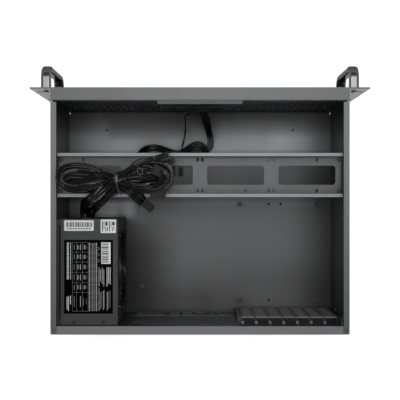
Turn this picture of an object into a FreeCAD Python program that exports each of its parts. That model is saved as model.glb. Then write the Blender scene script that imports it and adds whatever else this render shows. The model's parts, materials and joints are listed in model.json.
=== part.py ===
import FreeCAD, Part
import math
import os

V = FreeCAD.Vector

# ---------------------------------------------------------------- driving dimensions, mm
# Frame: origin at the bottom centre, +Z up, the front looks along -Y, +X is to the right of a person facing the front.
EAR_W = 482.6            # over the rack ears, 19 inch
H = 177.0                # four rack units
BODY_W = 423.2           # tray and front returns, outside
Y_FACE = -157.0          # front of the face plate
Y_REAR = 193.0           # rear edge of the tray
FACE_T = 2.0
T = 1.2                  # sheet thickness of the tray and the panels
RETURN_D = 17.8          # depth of the front assembly behind its face
FLANGE_W = 8.2           # inward top flange of the side walls
GAP = 0.3                # clearance between folded pieces
Y_RET = Y_FACE + RETURN_D            # rear edge of the front returns
Y_TRAY = Y_RET + 0.5                 # front edge of the tray
Y_WALL = -138.4                      # rear face of the inner front wall
HB = BODY_W / 2

# rack interface
RACK_HOLE_X = 232.55
RACK_PITCH_Z = 101.6
RACK_Z = 88.5
RACK_SLOT_L, RACK_SLOT_R = 10.4, 3.4

# handles
HANDLE_X, HANDLE_Z0, HANDLE_Z1 = 222.5, 28.5, 148.5
HANDLE_Y, HANDLE_W, HANDLE_D, HANDLE_R = -188.5, 15.0, 9.0, 15.0

# cross beam
BEAM_Y0, BEAM_Y1 = -64.4, -1.6
BEAM_LIP = 4.7
BEAM_PLATE_Z, BEAM_LIP_Z = 160.0, 170.0   # underside of the plate, underside of the lips
BEAM_HALF, LIP_HALF = 202.0, 203.0
BAY_X = (-153.0, -51.0, 51.0, 153.0)
WIN_W, WIN_H, WIN_R = 81.6, 27.4, 4.5
BEAM_CY = -33.0
DRIVE_DX, DRIVE_DY, DRIVE_2 = 47.625, 22.225, 61.72
END_X = 198.8
FOOT_X = 195.2           # beam bracket foot starts clear of the outer windows

# board standoffs, x and y of each axis
STAND_X = (-188.8, -64.34, 93.12)
STAND_Y = (163.9, 8.96, -63.43)
STAND_H, STAND_AF, STAND_HOLE = 6.5, 6.0, 1.4
BOARD_STANDOFFS = (
    (STAND_X[0], STAND_Y[0]), (STAND_X[1], STAND_Y[0]), (STAND_X[2], STAND_Y[0] - 22.86),
    (STAND_X[0], STAND_Y[1]), (STAND_X[1], STAND_Y[1]), (STAND_X[2], STAND_Y[1]),
    (STAND_X[0], STAND_Y[2]), (STAND_X[1], STAND_Y[2]), (STAND_X[2], STAND_Y[2]),
)

# rear wall
Y_BACK = 183.2           # inner face of the rear wall
Y_SLOT = 176.0           # inner face of the slot wall
Y_LEDGE = 187.4
Z_LEDGE = 117.0          # top of the ledge that carries the slot cover tabs
SLOT_X0, SLOT_PITCH, SLOT_N = -71.0, 20.32, 7
SLOT_SIDE = -55.4        # where the slot recess starts
SHIELD_X, SHIELD_W, SHIELD_H, SHIELD_Z = 26.6, 158.75, 44.45, 25.4
STRIP_Y0 = 181.1
STRIP_HALF = 202.9

# power supply, lying on its side, fan towards the middle of the case
PX0, PX1, PY0, PY1, PZ0, PZ1 = 118.9, 204.9, 30.0, 183.0, 1.4, 151.4
PT = 1.0
P_SEAM = 201.4
SEAM_GAP = 1.7           # open seam along the top of the shell, between these distances from its front
SEAM_Y = (4.6, 145.8)
LIP = 3.6                # stiffening lip along the top edge on the wall side
FAN_Y, FAN_Z, FAN_A, FAN_D, FAN_X0 = 106.6, 76.4, 120.0, 25.0, 120.2
GROM_X, GROM_Z, GROM_R = 165.0, 131.0, 15.0

NODES = {}


# ---------------------------------------------------------------- helpers
def box(x0, y0, z0, x1, y1, z1):
    return Part.makeBox(abs(x1 - x0), abs(y1 - y0), abs(z1 - z0), V(min(x0, x1), min(y0, y1), min(z0, z1)))


def cyl(p, d, r, h):
    return Part.makeCylinder(r, h, V(*p), V(*d))


def fuse(shapes):
    first, *rest = shapes
    return first.multiFuse(rest).removeSplitter() if rest else first


def cut(shape, tools):
    return shape.cut(tools) if tools else shape


def at_plane(plane, u, v, w):
    """A point of a plane: XZ has w along Y, XY along Z, YZ along X."""
    return {"XZ": V(u, w, v), "XY": V(u, v, w), "YZ": V(w, u, v)}[plane]


def ring(plane, w, pts):
    p = [at_plane(plane, u, v, w) for u, v in pts]
    return Part.makePolygon(p + [p[0]])


def rect(plane, w, u0, v0, u1, v1):
    return ring(plane, w, [(u0, v0), (u1, v0), (u1, v1), (u0, v1)])


def circle(plane, w, u, v, r):
    n = {"XZ": V(0, 1, 0), "XY": V(0, 0, 1), "YZ": V(1, 0, 0)}[plane]
    return Part.Wire(Part.makeCircle(r, at_plane(plane, u, v, w), n))


def rrect(plane, w, u0, v0, u1, v1, r):
    """A rectangle with round corners."""
    c = math.sqrt(0.5)
    corners = [(u1 - r, v0 + r, -90), (u1 - r, v1 - r, 0), (u0 + r, v1 - r, 90), (u0 + r, v0 + r, 180)]
    edges, ends = [], []
    for u, v, a in corners:
        q = [at_plane(plane, u + r * math.cos(math.radians(a + k)), v + r * math.sin(math.radians(a + k)), w) for k in (0, 45, 90)]
        edges.append(Part.Arc(*q).toShape())
        ends.append((q[0], q[2]))
    lines = []
    for k in range(4):
        a, b = ends[k][1], ends[(k + 1) % 4][0]
        if (b - a).Length > 1e-6:
            lines.append(Part.LineSegment(a, b).toShape())
    return Part.Wire(Part.__sortEdges__(edges + lines))


def hexagon(plane, w, u, v, r, turn=0):
    return ring(plane, w, [(u + r * math.cos(math.radians(60 * k + turn)), v + r * math.sin(math.radians(60 * k + turn))) for k in range(6)])


def slot(plane, w, u, v, length, r, along="u"):
    a = length / 2
    return rrect(plane, w, u - a, v - r, u + a, v + r, r * 0.999) if along == "u" else rrect(plane, w, u - r, v - a, u + r, v + a, r * 0.999)


def plate(plane, wires, thick):
    """A flat sheet from an outer wire and the wires of its holes, thick along the plane's normal."""
    face = Part.makeFace(wires, "Part::FaceMakerBullseye")
    n = {"XZ": V(0, thick, 0), "XY": V(0, 0, thick), "YZ": V(thick, 0, 0)}[plane]
    return face.extrude(n)


def screw(p, d, r_head, h_head, r_shank, l_shank):
    """A pan head screw: the head stands at p and looks along d, with a cross recess; the shank goes the other way."""
    d = V(*d)
    p = V(*p)
    head = Part.makeCylinder(r_head, h_head, p, d)
    top = [e for e in head.Edges if abs((e.CenterOfMass - p).dot(d) - h_head) < 1e-6 and e.Length > 3 * r_head]
    try:
        head = head.makeFillet(min(h_head * 0.6, r_head * 0.35), top)
    except Exception:
        pass
    shank = Part.makeCylinder(r_shank, l_shank, p, d * -1)
    body = head.fuse(shank).removeSplitter()
    a = V(0, 0, 1) if abs(d.z) < 0.5 else V(1, 0, 0)
    b = d.cross(a)
    arm, wide, deep = r_head * 1.15, r_head * 0.28, h_head * 0.55
    for u, v in ((a, b), (b, a)):
        c = p + d * (h_head - deep)
        q = [c + u * (s * arm / 2) + v * (t * wide / 2) for s, t in ((-1, -1), (1, -1), (1, 1), (-1, 1))]
        f = Part.Face(Part.makePolygon(q + [q[0]]))
        body = body.cut(f.extrude(d * (deep + 1)))
    return body


def tube(points, d, name=None):
    """A round cord along straight runs joined by tangent arcs, each as large as its two runs allow."""
    p = [V(*q) for q in points]
    edges, radii, last = [], [], p[0]
    for i in range(1, len(p) - 1):
        a, b = p[i - 1] - p[i], p[i + 1] - p[i]
        la, lb = a.Length, b.Length
        turn = math.pi - a.getAngle(b)
        t = 0.45 * min(la, lb)
        r = t / math.tan(turn / 2)
        radii.append((round(r, 1), round(math.degrees(turn))))
        ua, ub = a / la, b / lb
        s, e = p[i] + ua * t, p[i] + ub * t
        bis = (ua + ub)
        bis = bis / bis.Length
        c = p[i] + bis * (r / math.cos(turn / 2))
        m = c - bis * r
        edges.append(Part.LineSegment(last, s).toShape())
        edges.append(Part.Arc(s, m, e).toShape())
        last = e
    edges.append(Part.LineSegment(last, p[-1]).toShape())
    path = Part.Wire(edges)
    n = p[1] - p[0]
    prof = Part.Wire(Part.makeCircle(d / 2, p[0], n))
    solid = path.makePipeShell([prof], True, False)
    want = math.pi * d * d / 4 * path.Length
    print(f"{name}: {path.Length:.0f} mm, radii and turns {radii}, volume over section times length {solid.Volume / want:.3f}")
    return solid


def put(name, shape):
    if shape.ShapeType == "Compound" and len(shape.Solids) == 1:
        shape = shape.Solids[0]
    NODES[name] = shape


# ---------------------------------------------------------------- tray: floor, side walls and their top flanges, one folded sheet
floor_holes = [circle("XY", 0, x, y, 1.7) for x, y in BOARD_STANDOFFS]
for x, y in ((-110.6, STAND_Y[0]), (-110.6, STAND_Y[1]), (-129.9, STAND_Y[1])):
    floor_holes.append(circle("XY", 0, x, y, 2.0))
for x in (-150.0, 150.0):
    for y in (-110.0, -20.0):
        floor_holes.append(circle("XY", 0, x, y, 1.7))
for s in (-1, 1):
    xa, xb = sorted((s * 207.2, s * 210.0))
    floor_holes.append(rrect("XY", 0, xa, Y_TRAY + 0.6, xb, Y_TRAY + 3.4, 0.6))
floor = plate("XY", [rect("XY", 0, -HB, Y_TRAY, HB, Y_REAR)] + floor_holes, T)
tray = [floor]
for s in (-1, 1):
    holes = [circle("YZ", 0, y, z, 2.2) for y in (-118.0, 30.0, 172.0) for z in (60.0,)]
    holes += [circle("YZ", 0, BEAM_CY + k * 18.0, 150.0, 1.7) for k in (-1, 1)]
    outline = ring("YZ", 0, [(Y_TRAY, 0), (Y_REAR, 0), (Y_REAR, H), (-136.2, H), (-136.2, 160.0), (Y_TRAY, 158.0)])
    wall = plate("YZ", [outline] + holes, T)
    wall.translate(V(HB - T if s > 0 else -HB, 0, 0))
    tray.append(wall)
    x_in = HB - FLANGE_W
    pts = [(HB, -136.2), (x_in, -136.2), (x_in, Y_REAR - 0.2), (HB - 2.5, Y_REAR), (HB, Y_REAR - 2.5)]
    outer = ring("XY", H - T, [(s * a, b) for a, b in pts])
    holes = [circle("XY", H - T, s * (HB - 4.6), y, 1.6) for y in (Y_REAR - 6.0,)]
    tray.append(plate("XY", [outer] + holes, T))
    # short hem that stiffens the inner edge of the flange
    tray.append(box(s * x_in, -136.2, H - 5.5, s * (x_in + 0.9), STRIP_Y0 - 1.0, H - T + 0.1))
base_tray = fuse(tray)
put("base_tray", base_tray)

# ---------------------------------------------------------------- front panel: face plate with ears, top, bottom and side returns
face_holes = []
for s in (-1, 1):
    for k in (-1, 1):
        face_holes.append(slot("XZ", Y_FACE, s * RACK_HOLE_X, RACK_Z + k * RACK_PITCH_Z / 2, RACK_SLOT_L, RACK_SLOT_R))
    for z in (HANDLE_Z0, HANDLE_Z1):
        face_holes.append(circle("XZ", Y_FACE, s * HANDLE_X, z, 2.2))
    for col in range(15):
        for z in (43.0, 88.5, 134.0):
            face_holes.append(slot("XZ", Y_FACE, s * (78.0 + col * 8.4), z, 38.0, 2.3, "v"))
IO_Z = 84.0
USB_X = (-34.0, -13.0)
BTN_X, RST_X, LED_X = 12.0, 30.0, (42.0, 50.0)
for x in USB_X:
    face_holes.append(rrect("XZ", Y_FACE, x - 7.4, IO_Z - 3.6, x + 7.4, IO_Z + 3.6, 0.8))
face_holes.append(circle("XZ", Y_FACE, BTN_X, IO_Z, 7.3))
face_holes.append(circle("XZ", Y_FACE, RST_X, IO_Z, 3.2))
for x in LED_X:
    face_holes.append(circle("XZ", Y_FACE, x, IO_Z, 1.6))
face = plate("XZ", [rrect("XZ", Y_FACE, -EAR_W / 2, 0, EAR_W / 2, H, 2.0)] + face_holes, FACE_T)
returns = [
    box(-HB, Y_FACE + FACE_T - 0.2, H - T, HB, Y_RET, H),
    box(-HB, Y_FACE + FACE_T - 0.2, 0, HB, Y_RET, T),
    box(-HB, Y_FACE + FACE_T - 0.2, 0, -HB + T, Y_RET, H),
    box(HB - T, Y_FACE + FACE_T - 0.2, 0, HB, Y_RET, H),
]
front_panel = fuse([face] + returns)
put("front_panel", front_panel)

# ---------------------------------------------------------------- inner front wall, with two fan places and the window of the front sockets
wall_holes = [rrect("XZ", Y_WALL - T, -56.0, IO_Z - 12.0, 56.0, IO_Z + 12.0, 2.0)]
for s in (-1, 1):
    cx, cz = s * 124.0, 88.5
    for i in range(-5, 6):
        for j in range(-5, 6):
            if math.hypot(i, j) * 10.0 < 54.0:
                wall_holes.append(circle("XZ", Y_WALL - T, cx + i * 10.0, cz + j * 10.0, 4.0))
    for a in (-52.5, 52.5):
        for b in (-52.5, 52.5):
            wall_holes.append(circle("XZ", Y_WALL - T, cx + a, cz + b, 2.3))
    wall_holes.append(circle("XZ", Y_WALL - T, s * 58.5, 60.0, 1.5))
    wall_holes.append(circle("XZ", Y_WALL - T, s * 58.5, 104.0, 1.5))
    wall_holes.append(circle("XZ", Y_WALL - T, s * 190.0, 85.0, 1.5))
wall = plate("XZ", [rect("XZ", Y_WALL - T, -HB + T + GAP, T + GAP, HB - T - GAP, H - T - GAP)] + wall_holes, T)
tabs = []
for s in (-1, 1):
    tabs.append(box(s * (HB - T - GAP), Y_WALL - T, T + GAP + 8, s * (HB - 2 * T - GAP), Y_WALL + 14.0, 150.0))
inner_wall = fuse([wall] + tabs)
put("inner_front_wall", inner_wall)
wall_screws = (
    [screw((s * 190.0, Y_WALL, 85.0), (0, 1, 0), 2.8, 1.6, 1.4, 4.0) for s in (-1, 1)]
    + [screw((s * HB, y, 60.0), (s, 0, 0), 3.6, 1.9, 1.9, 3.2) for s in (-1, 1) for y in (-118.0, 30.0, 172.0)])

# ---------------------------------------------------------------- front socket bracket, board and what is on it
B_Y = Y_WALL
br_holes = [rrect("XZ", B_Y, -50.0, IO_Z - 9.0, 56.0, IO_Z + 9.0, 1.5)]
for s in (-1, 1):
    for z in (60.0, 104.0):
        br_holes.append(circle("XZ", B_Y, s * 58.5, z, 1.5))
bracket = [plate("XZ", [rect("XZ", B_Y, -62.0, 54.0, 62.0, H - 0.5)] + br_holes, 1.0),
           box(-60.0, Y_RET + 0.15, H - 1.0, 60.4, B_Y + 5.2, H - 0.05),
           box(-60.0, B_Y + 4.4, H - 5.5, 60.4, B_Y + 5.2, H - 0.05)]
put("io_bracket", fuse(bracket))
socket_screws = ([screw((s * 58.5, B_Y + 1.0, z), (0, 1, 0), 2.8, 1.7, 1.35, 4.5) for s in (-1, 1) for z in (60.0, 104.0)])
put("wall_screws", Part.makeCompound(wall_screws + socket_screws))
PCB_Y = B_Y + 1.0
put("io_board", cut(box(-46.0, PCB_Y, 71.0, 55.0, PCB_Y + 1.6, 98.0), [cyl((x, PCB_Y - 1, z), (0, 1, 0), 1.2, 4) for x in (-43.0, 52.0) for z in (74.0, 95.0)]))
socks = []
for x in USB_X:
    shell = cut(box(x - 6.9, Y_FACE + 0.6, IO_Z - 3.2, x + 6.9, PCB_Y, IO_Z + 3.2), [box(x - 6.4, Y_FACE, IO_Z - 2.7, x + 6.4, PCB_Y - 5, IO_Z + 2.7)])
    socks.append(fuse([shell, box(x - 5.6, Y_FACE + 1.6, IO_Z - 0.2, x + 5.6, PCB_Y - 4, IO_Z + 1.7)]))
put("usb_sockets", Part.makeCompound(socks))
headers = [
    box(-14.0, PCB_Y + 1.6, 92.0, 8.0, PCB_Y + 7.6, 97.6),
    box(9.0, PCB_Y + 1.6, 78.0, 20.0, PCB_Y + 6.6, 83.0),
    box(34.0, PCB_Y + 1.6, 78.0, 46.0, PCB_Y + 3.4, 90.0),
    box(-36.0, PCB_Y + 1.6, 80.0, -20.0, PCB_Y + 3.0, 88.0),
]
put("io_headers", Part.makeCompound(headers))
guide = cut(cyl((BTN_X, Y_FACE + 2.0, IO_Z), (0, 1, 0), 8.6, 7.6), [cyl((BTN_X, Y_FACE, IO_Z), (0, 1, 0), 6.9, 20)])
guide2 = cut(cyl((RST_X, Y_FACE + 2.0, IO_Z), (0, 1, 0), 4.2, 7.6), [cyl((RST_X, Y_FACE, IO_Z), (0, 1, 0), 2.9, 20)])
bridge = cut(box(BTN_X, Y_FACE + 2.0, IO_Z - 1.5, RST_X, Y_FACE + 4.0, IO_Z + 1.5), [cyl((BTN_X, Y_FACE, IO_Z), (0, 1, 0), 8.0, 20), cyl((RST_X, Y_FACE, IO_Z), (0, 1, 0), 3.6, 20)])
put("button_guide", fuse([guide, guide2, bridge]))
sw = []
for x in (BTN_X, RST_X):
    sw.append(fuse([box(x - 3.0, PCB_Y - 3.4, IO_Z - 3.0, x + 3.0, PCB_Y, IO_Z + 3.0), cyl((x, PCB_Y - 4.2, IO_Z), (0, 1, 0), 1.6, 1.2)]))
put("button_switches", Part.makeCompound(sw))
def cap(x, r, out, stem):
    head = cyl((x, Y_FACE - out, IO_Z), (0, 1, 0), r, out + 6.5)
    top = [e for e in head.Edges if abs(e.CenterOfMass.y - (Y_FACE - out)) < 1e-6 and e.Length > r]
    head = head.makeFillet(0.6, top)
    flange = cyl((x, Y_FACE + 9.9, IO_Z), (0, 1, 0), r + 1.1, 1.0)
    return fuse([head, cyl((x, Y_FACE + 6.0, IO_Z), (0, 1, 0), stem, PCB_Y - 4.2 - 1.7 - (Y_FACE + 6.0)), flange])
put("power_button", cap(BTN_X, 6.7, 1.6, 2.0))
put("reset_button", cap(RST_X, 2.7, 0.6, 1.5))
leds = []
for x in LED_X:
    dome = cyl((x, Y_FACE - 0.5, IO_Z), (0, 1, 0), 1.45, PCB_Y - Y_FACE + 0.5)
    dome = dome.makeFillet(0.45, [e for e in dome.Edges if abs(e.CenterOfMass.y - (Y_FACE - 0.5)) < 1e-6 and e.Length > 3])
    leds.append(dome)
put("led_light_pipes", Part.makeCompound(leds))

# ---------------------------------------------------------------- handles: one bent oval bar each, held by screws from behind the ears
def handle(s):
    x, r = s * HANDLE_X, HANDLE_R
    y0, y1 = Y_FACE, HANDLE_Y
    z0, z1 = HANDLE_Z0, HANDLE_Z1
    c = math.sqrt(0.5)
    e = [
        Part.LineSegment(V(x, y0, z0), V(x, y1 + r, z0)).toShape(),
        Part.Arc(V(x, y1 + r, z0), V(x, y1 + r - r * c, z0 + r - r * c), V(x, y1, z0 + r)).toShape(),
        Part.LineSegment(V(x, y1, z0 + r), V(x, y1, z1 - r)).toShape(),
        Part.Arc(V(x, y1, z1 - r), V(x, y1 + r - r * c, z1 - r + r * c), V(x, y1 + r, z1)).toShape(),
        Part.LineSegment(V(x, y1 + r, z1), V(x, y0, z1)).toShape(),
    ]
    prof = rrect("XZ", y0, x - HANDLE_W / 2, z0 - HANDLE_D / 2, x + HANDLE_W / 2, z0 + HANDLE_D / 2, HANDLE_D * 0.46)
    return Part.Wire(e).makePipeShell([prof], True, False)


for s, side in ((-1, "left"), (1, "right")):
    h = handle(s)
    feet = [cyl((s * HANDLE_X, Y_FACE + 0.01, z), (0, -1, 0), 1.9, 9.0) for z in (HANDLE_Z0, HANDLE_Z1)]
    put("handle_" + side, h.cut(feet))
put("handle_screws", Part.makeCompound([screw((s * HANDLE_X, Y_FACE + FACE_T, z), (0, 1, 0), 3.9, 2.2, 1.75, 9.5) for s in (-1, 1) for z in (HANDLE_Z0, HANDLE_Z1)]))

# ---------------------------------------------------------------- cross beam: plate with two raised lips, on two side brackets
bh = []
for c in BAY_X:
    bh.append(rrect("XY", BEAM_PLATE_Z, c - WIN_W / 2, BEAM_CY - WIN_H / 2, c + WIN_W / 2, BEAM_CY + WIN_H / 2, WIN_R))
    inner = c - DRIVE_DX if c > 0 else c + DRIVE_DX
    sg = 1 if c > 0 else -1
    far = inner + sg * 2 * DRIVE_DX
    for x in (inner, inner + sg * DRIVE_2, far if abs(far) < END_X else sg * END_X):
        for k in (-1, 1):
            bh.append(slot("XY", BEAM_PLATE_Z, x, BEAM_CY + k * DRIVE_DY, 5.4, 1.75, "v"))
beam = [
    plate("XY", [rect("XY", BEAM_PLATE_Z, -BEAM_HALF, BEAM_Y0 + BEAM_LIP - T, BEAM_HALF, BEAM_Y1 - BEAM_LIP + T)] + bh, T),
    box(-LIP_HALF, BEAM_Y0, BEAM_LIP_Z, LIP_HALF, BEAM_Y0 + BEAM_LIP, BEAM_LIP_Z + T),
    box(-LIP_HALF, BEAM_Y1 - BEAM_LIP, BEAM_LIP_Z, LIP_HALF, BEAM_Y1, BEAM_LIP_Z + T),
    box(-BEAM_HALF, BEAM_Y0 + BEAM_LIP - T, BEAM_PLATE_Z, BEAM_HALF, BEAM_Y0 + BEAM_LIP, BEAM_LIP_Z + T),
    box(-BEAM_HALF, BEAM_Y1 - BEAM_LIP, BEAM_PLATE_Z, BEAM_HALF, BEAM_Y1 - BEAM_LIP + T, BEAM_LIP_Z + T),
]
put("cross_beam", fuse(beam))
end_screws = []
wall_b = []
for s, side in ((-1, "left"), (1, "right")):
    xw = HB - T
    legs = [
        box(s * (xw - T), BEAM_CY - 28.0, 138.0, s * xw, BEAM_CY + 28.0, BEAM_PLATE_Z),
        box(s * FOOT_X, BEAM_CY - 28.0, BEAM_PLATE_Z - T, s * xw, BEAM_CY + 28.0, BEAM_PLATE_Z),
    ]
    b = fuse(legs)
    b = cut(b, [cyl((s * END_X, BEAM_CY + k * DRIVE_DY, 150), (0, 0, 1), 1.55, 20) for k in (-1, 1)]
            + [cyl((s * (xw - 4), BEAM_CY + k * 18.0, 150.0), (s, 0, 0), 1.65, 10) for k in (-1, 1)])
    put("beam_bracket_" + side, b)
    for k in (-1, 1):
        end_screws.append(screw((s * END_X, BEAM_CY + k * DRIVE_DY, BEAM_PLATE_Z + T), (0, 0, 1), 2.9, 1.7, 1.5, 6.0))
        wall_b.append(screw((s * HB, BEAM_CY + k * 18.0, 150.0), (s, 0, 0), 3.2, 1.7, 1.6, 4.5))
put("beam_screws", Part.makeCompound(end_screws + wall_b))

# ---------------------------------------------------------------- board standoffs: hexagonal, threaded, pressed into the floor
st = []
for x, y in BOARD_STANDOFFS:
    s0 = plate("XY", [hexagon("XY", T, x, y, STAND_AF / math.sqrt(3)), circle("XY", T, x, y, STAND_HOLE)], STAND_H)
    foot = cyl((x, y, 0.2), (0, 0, 1), 1.7, 1.1).cut(cyl((x, y, -1), (0, 0, 1), STAND_HOLE, 4))
    st.append(s0.fuse(foot).removeSplitter())
put("board_standoffs", Part.makeCompound(st))

# ---------------------------------------------------------------- rear panel: wall, recessed slot wall, ledge, top rail
rp_holes = []
# socket plate opening
rp_holes.append(rect("XZ", Y_BACK, SHIELD_X - SHIELD_W / 2, SHIELD_Z - SHIELD_H / 2, SHIELD_X + SHIELD_W / 2, SHIELD_Z + SHIELD_H / 2))
# power supply opening
rp_holes.append(rect("XZ", Y_BACK, 129.9, 12.6, 193.9, 139.4))
PSU_SCREWS = ((124.9, PZ0 + 6.0), (124.9, PZ0 + 144.0), (188.9, PZ0 + 6.0), (198.9, PZ0 + 120.0))
for x, z in PSU_SCREWS:
    rp_holes.append(circle("XZ", Y_BACK, x, z, 2.0))
# two round vent fields for 80 mm fans
VENT = ((66.0, 112.0), (-13.0, 112.0))
for cx, cz in VENT:
    for i in range(-6, 7):
        for j in range(-6, 7):
            u, v = (i + (j % 2) * 0.5) * 6.4, j * 5.6
            if math.hypot(u, v) < 35.0:
                rp_holes.append(hexagon("XZ", Y_BACK, cx + u, cz + v, 2.9, 30))
    for a in (-35.75, 35.75):
        for b in (-35.75, 35.75):
            rp_holes.append(circle("XZ", Y_BACK, cx + a, cz + b, 2.2))
main = plate("XZ", [rect("XZ", Y_BACK, SLOT_SIDE, T + GAP, HB - T - GAP, H - T)] + rp_holes, T)
slot_left = -HB + T + GAP
sl_holes = []
for i in range(SLOT_N):
    x = SLOT_X0 - i * SLOT_PITCH
    sl_holes.append(rrect("XZ", Y_SLOT, x - 6.4, 12.0, x + 6.4, 108.0, 0.8))
slot_wall = plate("XZ", [rect("XZ", Y_SLOT, slot_left, T + GAP, SLOT_SIDE, Z_LEDGE - T / 2)] + sl_holes, T)
ledge_holes = [circle("XY", Z_LEDGE - T, SLOT_X0 - i * SLOT_PITCH + 7.9, 184.0, 1.5) for i in range(SLOT_N)]
ledge = plate("XY", [rect("XY", Z_LEDGE - T, slot_left, Y_SLOT, SLOT_SIDE, Y_LEDGE + T)] + ledge_holes, T)
upper = box(slot_left, Y_LEDGE, Z_LEDGE - T, SLOT_SIDE, Y_LEDGE + T, H - T)
cheek_low = box(SLOT_SIDE - T, Y_SLOT, T + GAP, SLOT_SIDE, Y_BACK + T, Z_LEDGE)
cheek_up = box(SLOT_SIDE - T, Y_BACK, Z_LEDGE - T, SLOT_SIDE, Y_LEDGE + T, H - T)
rail = [box(-STRIP_HALF, STRIP_Y0, H - T, STRIP_HALF, Y_REAR, H), box(-STRIP_HALF, Y_REAR - T, H - 9.0, STRIP_HALF, Y_REAR, H)]
# joggled corner ears that close the corners under the side flanges
for s in (-1, 1):
    xa, xb = sorted((s * (STRIP_HALF - 4.0), s * STRIP_HALF))
    rail.append(box(xa, STRIP_Y0 + 1.0, H - 2 * T - 0.15, xb, Y_REAR - 0.2, H - T + 0.05))
    xa, xb = sorted((s * (STRIP_HALF - 4.0), s * (HB - T - 0.3)))
    rail.append(box(xa, STRIP_Y0 + 1.0, H - 2 * T - 0.15, xb, Y_REAR - 0.2, H - T - 0.15))
bottom_flange = [box(SLOT_SIDE, Y_BACK, T + 0.05, HB - T - GAP, Y_REAR - 0.6, 2 * T), box(slot_left, Y_SLOT, T + 0.05, SLOT_SIDE, Y_REAR - 0.6, 2 * T)]
rear_panel = fuse([main, slot_wall, ledge, upper, cheek_low, cheek_up] + rail + bottom_flange)
put("rear_panel", rear_panel)

# ---------------------------------------------------------------- slot covers: perforated brackets with a screw tab bent to the rear
cover_screws = []
for i in range(SLOT_N):
    x = SLOT_X0 - i * SLOT_PITCH
    ty = 0.9
    holes = []
    for r in range(17):
        for c in (-1, 0, 1):
            if (r + c) % 2 == 0:
                holes.append(circle("XZ", Y_SLOT - ty - 0.05, x + c * 3.4, 17.0 + r * 5.4, 1.7))
            elif c != 0 or r % 2:
                pass
    body = plate("XZ", [rect("XZ", Y_SLOT - ty - 0.05, x - 9.2, 7.0, x + 9.2, Z_LEDGE + 0.95)] + holes, ty)
    tab_out = [(x - 9.2, Y_SLOT - ty - 0.05), (x + 9.2, Y_SLOT - ty - 0.05), (x + 9.2, 182.3), (x + 6.2, 182.3), (x + 6.2, 185.7), (x + 9.2, 185.7), (x + 9.2, 186.6), (x - 9.2, 186.6)]
    tab = plate("XY", [ring("XY", Z_LEDGE + 0.05, tab_out)], ty)
    put(f"slot_cover_{i + 1}", fuse([body, tab]))
    cover_screws.append(screw((x + 7.9, 184.0, Z_LEDGE + 0.95), (0, 0, 1), 3.1, 2.2, 1.4, 5.0))
put("slot_cover_screws", Part.makeCompound(cover_screws))

# ---------------------------------------------------------------- socket plate: thin sprung plate with knock-out ports
sh, sy = [], Y_BACK - 0.7
x0 = SHIELD_X + SHIELD_W / 2
for u, v, w, h in ((12, 33, 0, 0), (12, 13, 0, 0)):
    sh.append(circle("XZ", sy, x0 - u, SHIELD_Z - SHIELD_H / 2 + v, 6.4))
for u, v, w, h in ((34, 12, 30, 9), (34, 32, 30, 9), (66, 13, 15, 14), (66, 33, 15, 8), (86, 12, 15, 13), (86, 32, 16, 14), (106, 13, 15, 14)):
    a, b = x0 - u, SHIELD_Z - SHIELD_H / 2 + v
    sh.append(rrect("XZ", sy, a - w / 2, b - h / 2, a + w / 2, b + h / 2, 1.2))
for u in (124, 136, 148):
    for v in (10, 22, 34):
        sh.append(circle("XZ", sy, x0 - u, SHIELD_Z - SHIELD_H / 2 + v, 3.9))
shield = plate("XZ", [rrect("XZ", sy, SHIELD_X - SHIELD_W / 2 - 1.4, SHIELD_Z - SHIELD_H / 2 - 1.2, SHIELD_X + SHIELD_W / 2 + 1.4, SHIELD_Z + SHIELD_H / 2 + 1.4, 1.0)] + sh, 0.5)
lip = box(SHIELD_X - SHIELD_W / 2 + 0.3, sy + 0.4, SHIELD_Z - SHIELD_H / 2 + 0.3, SHIELD_X + SHIELD_W / 2 - 0.3, Y_BACK + T + 0.6, SHIELD_Z + SHIELD_H / 2 - 0.3)
lip = lip.cut(box(SHIELD_X - SHIELD_W / 2 + 0.8, sy - 1, SHIELD_Z - SHIELD_H / 2 + 0.8, SHIELD_X + SHIELD_W / 2 - 0.8, Y_BACK + 9, SHIELD_Z + SHIELD_H / 2 - 0.8))
put("io_shield", fuse([shield, lip]))

# ---------------------------------------------------------------- power supply
fan_holes = [(FAN_Y + a, FAN_Z + b) for a in (-52.5, 52.5) for b in (-52.5, 52.5)]
side = plate("YZ", [rect("YZ", PX0, PY0, PZ0, PY1, PZ1), circle("YZ", PX0, FAN_Y, FAN_Z, 57.0)] + [circle("YZ", PX0, y, z, 2.2) for y, z in fan_holes], PT)
top_holes = [circle("XY", 0, x, PY1 - 4.4, 1.7) for x in (139.4, 182.1)]
top = plate("XY", [rect("XY", 0, PX0, PY0, P_SEAM, PY1)] + top_holes, PT)
low = top.copy()
top.translate(V(0, 0, PZ1 - PT))
low.translate(V(0, 0, PZ0))
put("psu_cover", fuse([side, top, low]))
vent = []
for i in range(-6, 7):
    for j in range(-12, 13):
        u, v = (i + (j % 2) * 0.5) * 6.6, j * 5.75
        x, z = 161.9 + u, 98.0 + v
        if 131.5 < x < 192.5 and 52.0 < z < 137.5:
            vent.append(hexagon("XZ", PY1 - PT, x, z, 3.0, 30))
INX, INZ = 175.0, 31.0
SWX, SWZ = 145.0, 31.0
vent.append(rrect("XZ", PY1 - PT, INX - 10.2, INZ - 13.8, INX + 10.2, INZ + 13.8, 2.0))
vent.append(rrect("XZ", PY1 - PT, SWX - 6.6, SWZ - 9.6, SWX + 6.6, SWZ + 9.6, 0.5))
for x, z in PSU_SCREWS:
    vent.append(circle("XZ", PY1 - PT, x, z, 1.5))
ex0 = PX0 + PT + 0.15
back = plate("XZ", [rect("XZ", PY1 - PT, ex0, PZ0 + PT + 0.15, PX1, PZ1 - PT - 0.15)] + vent, PT)
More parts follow.
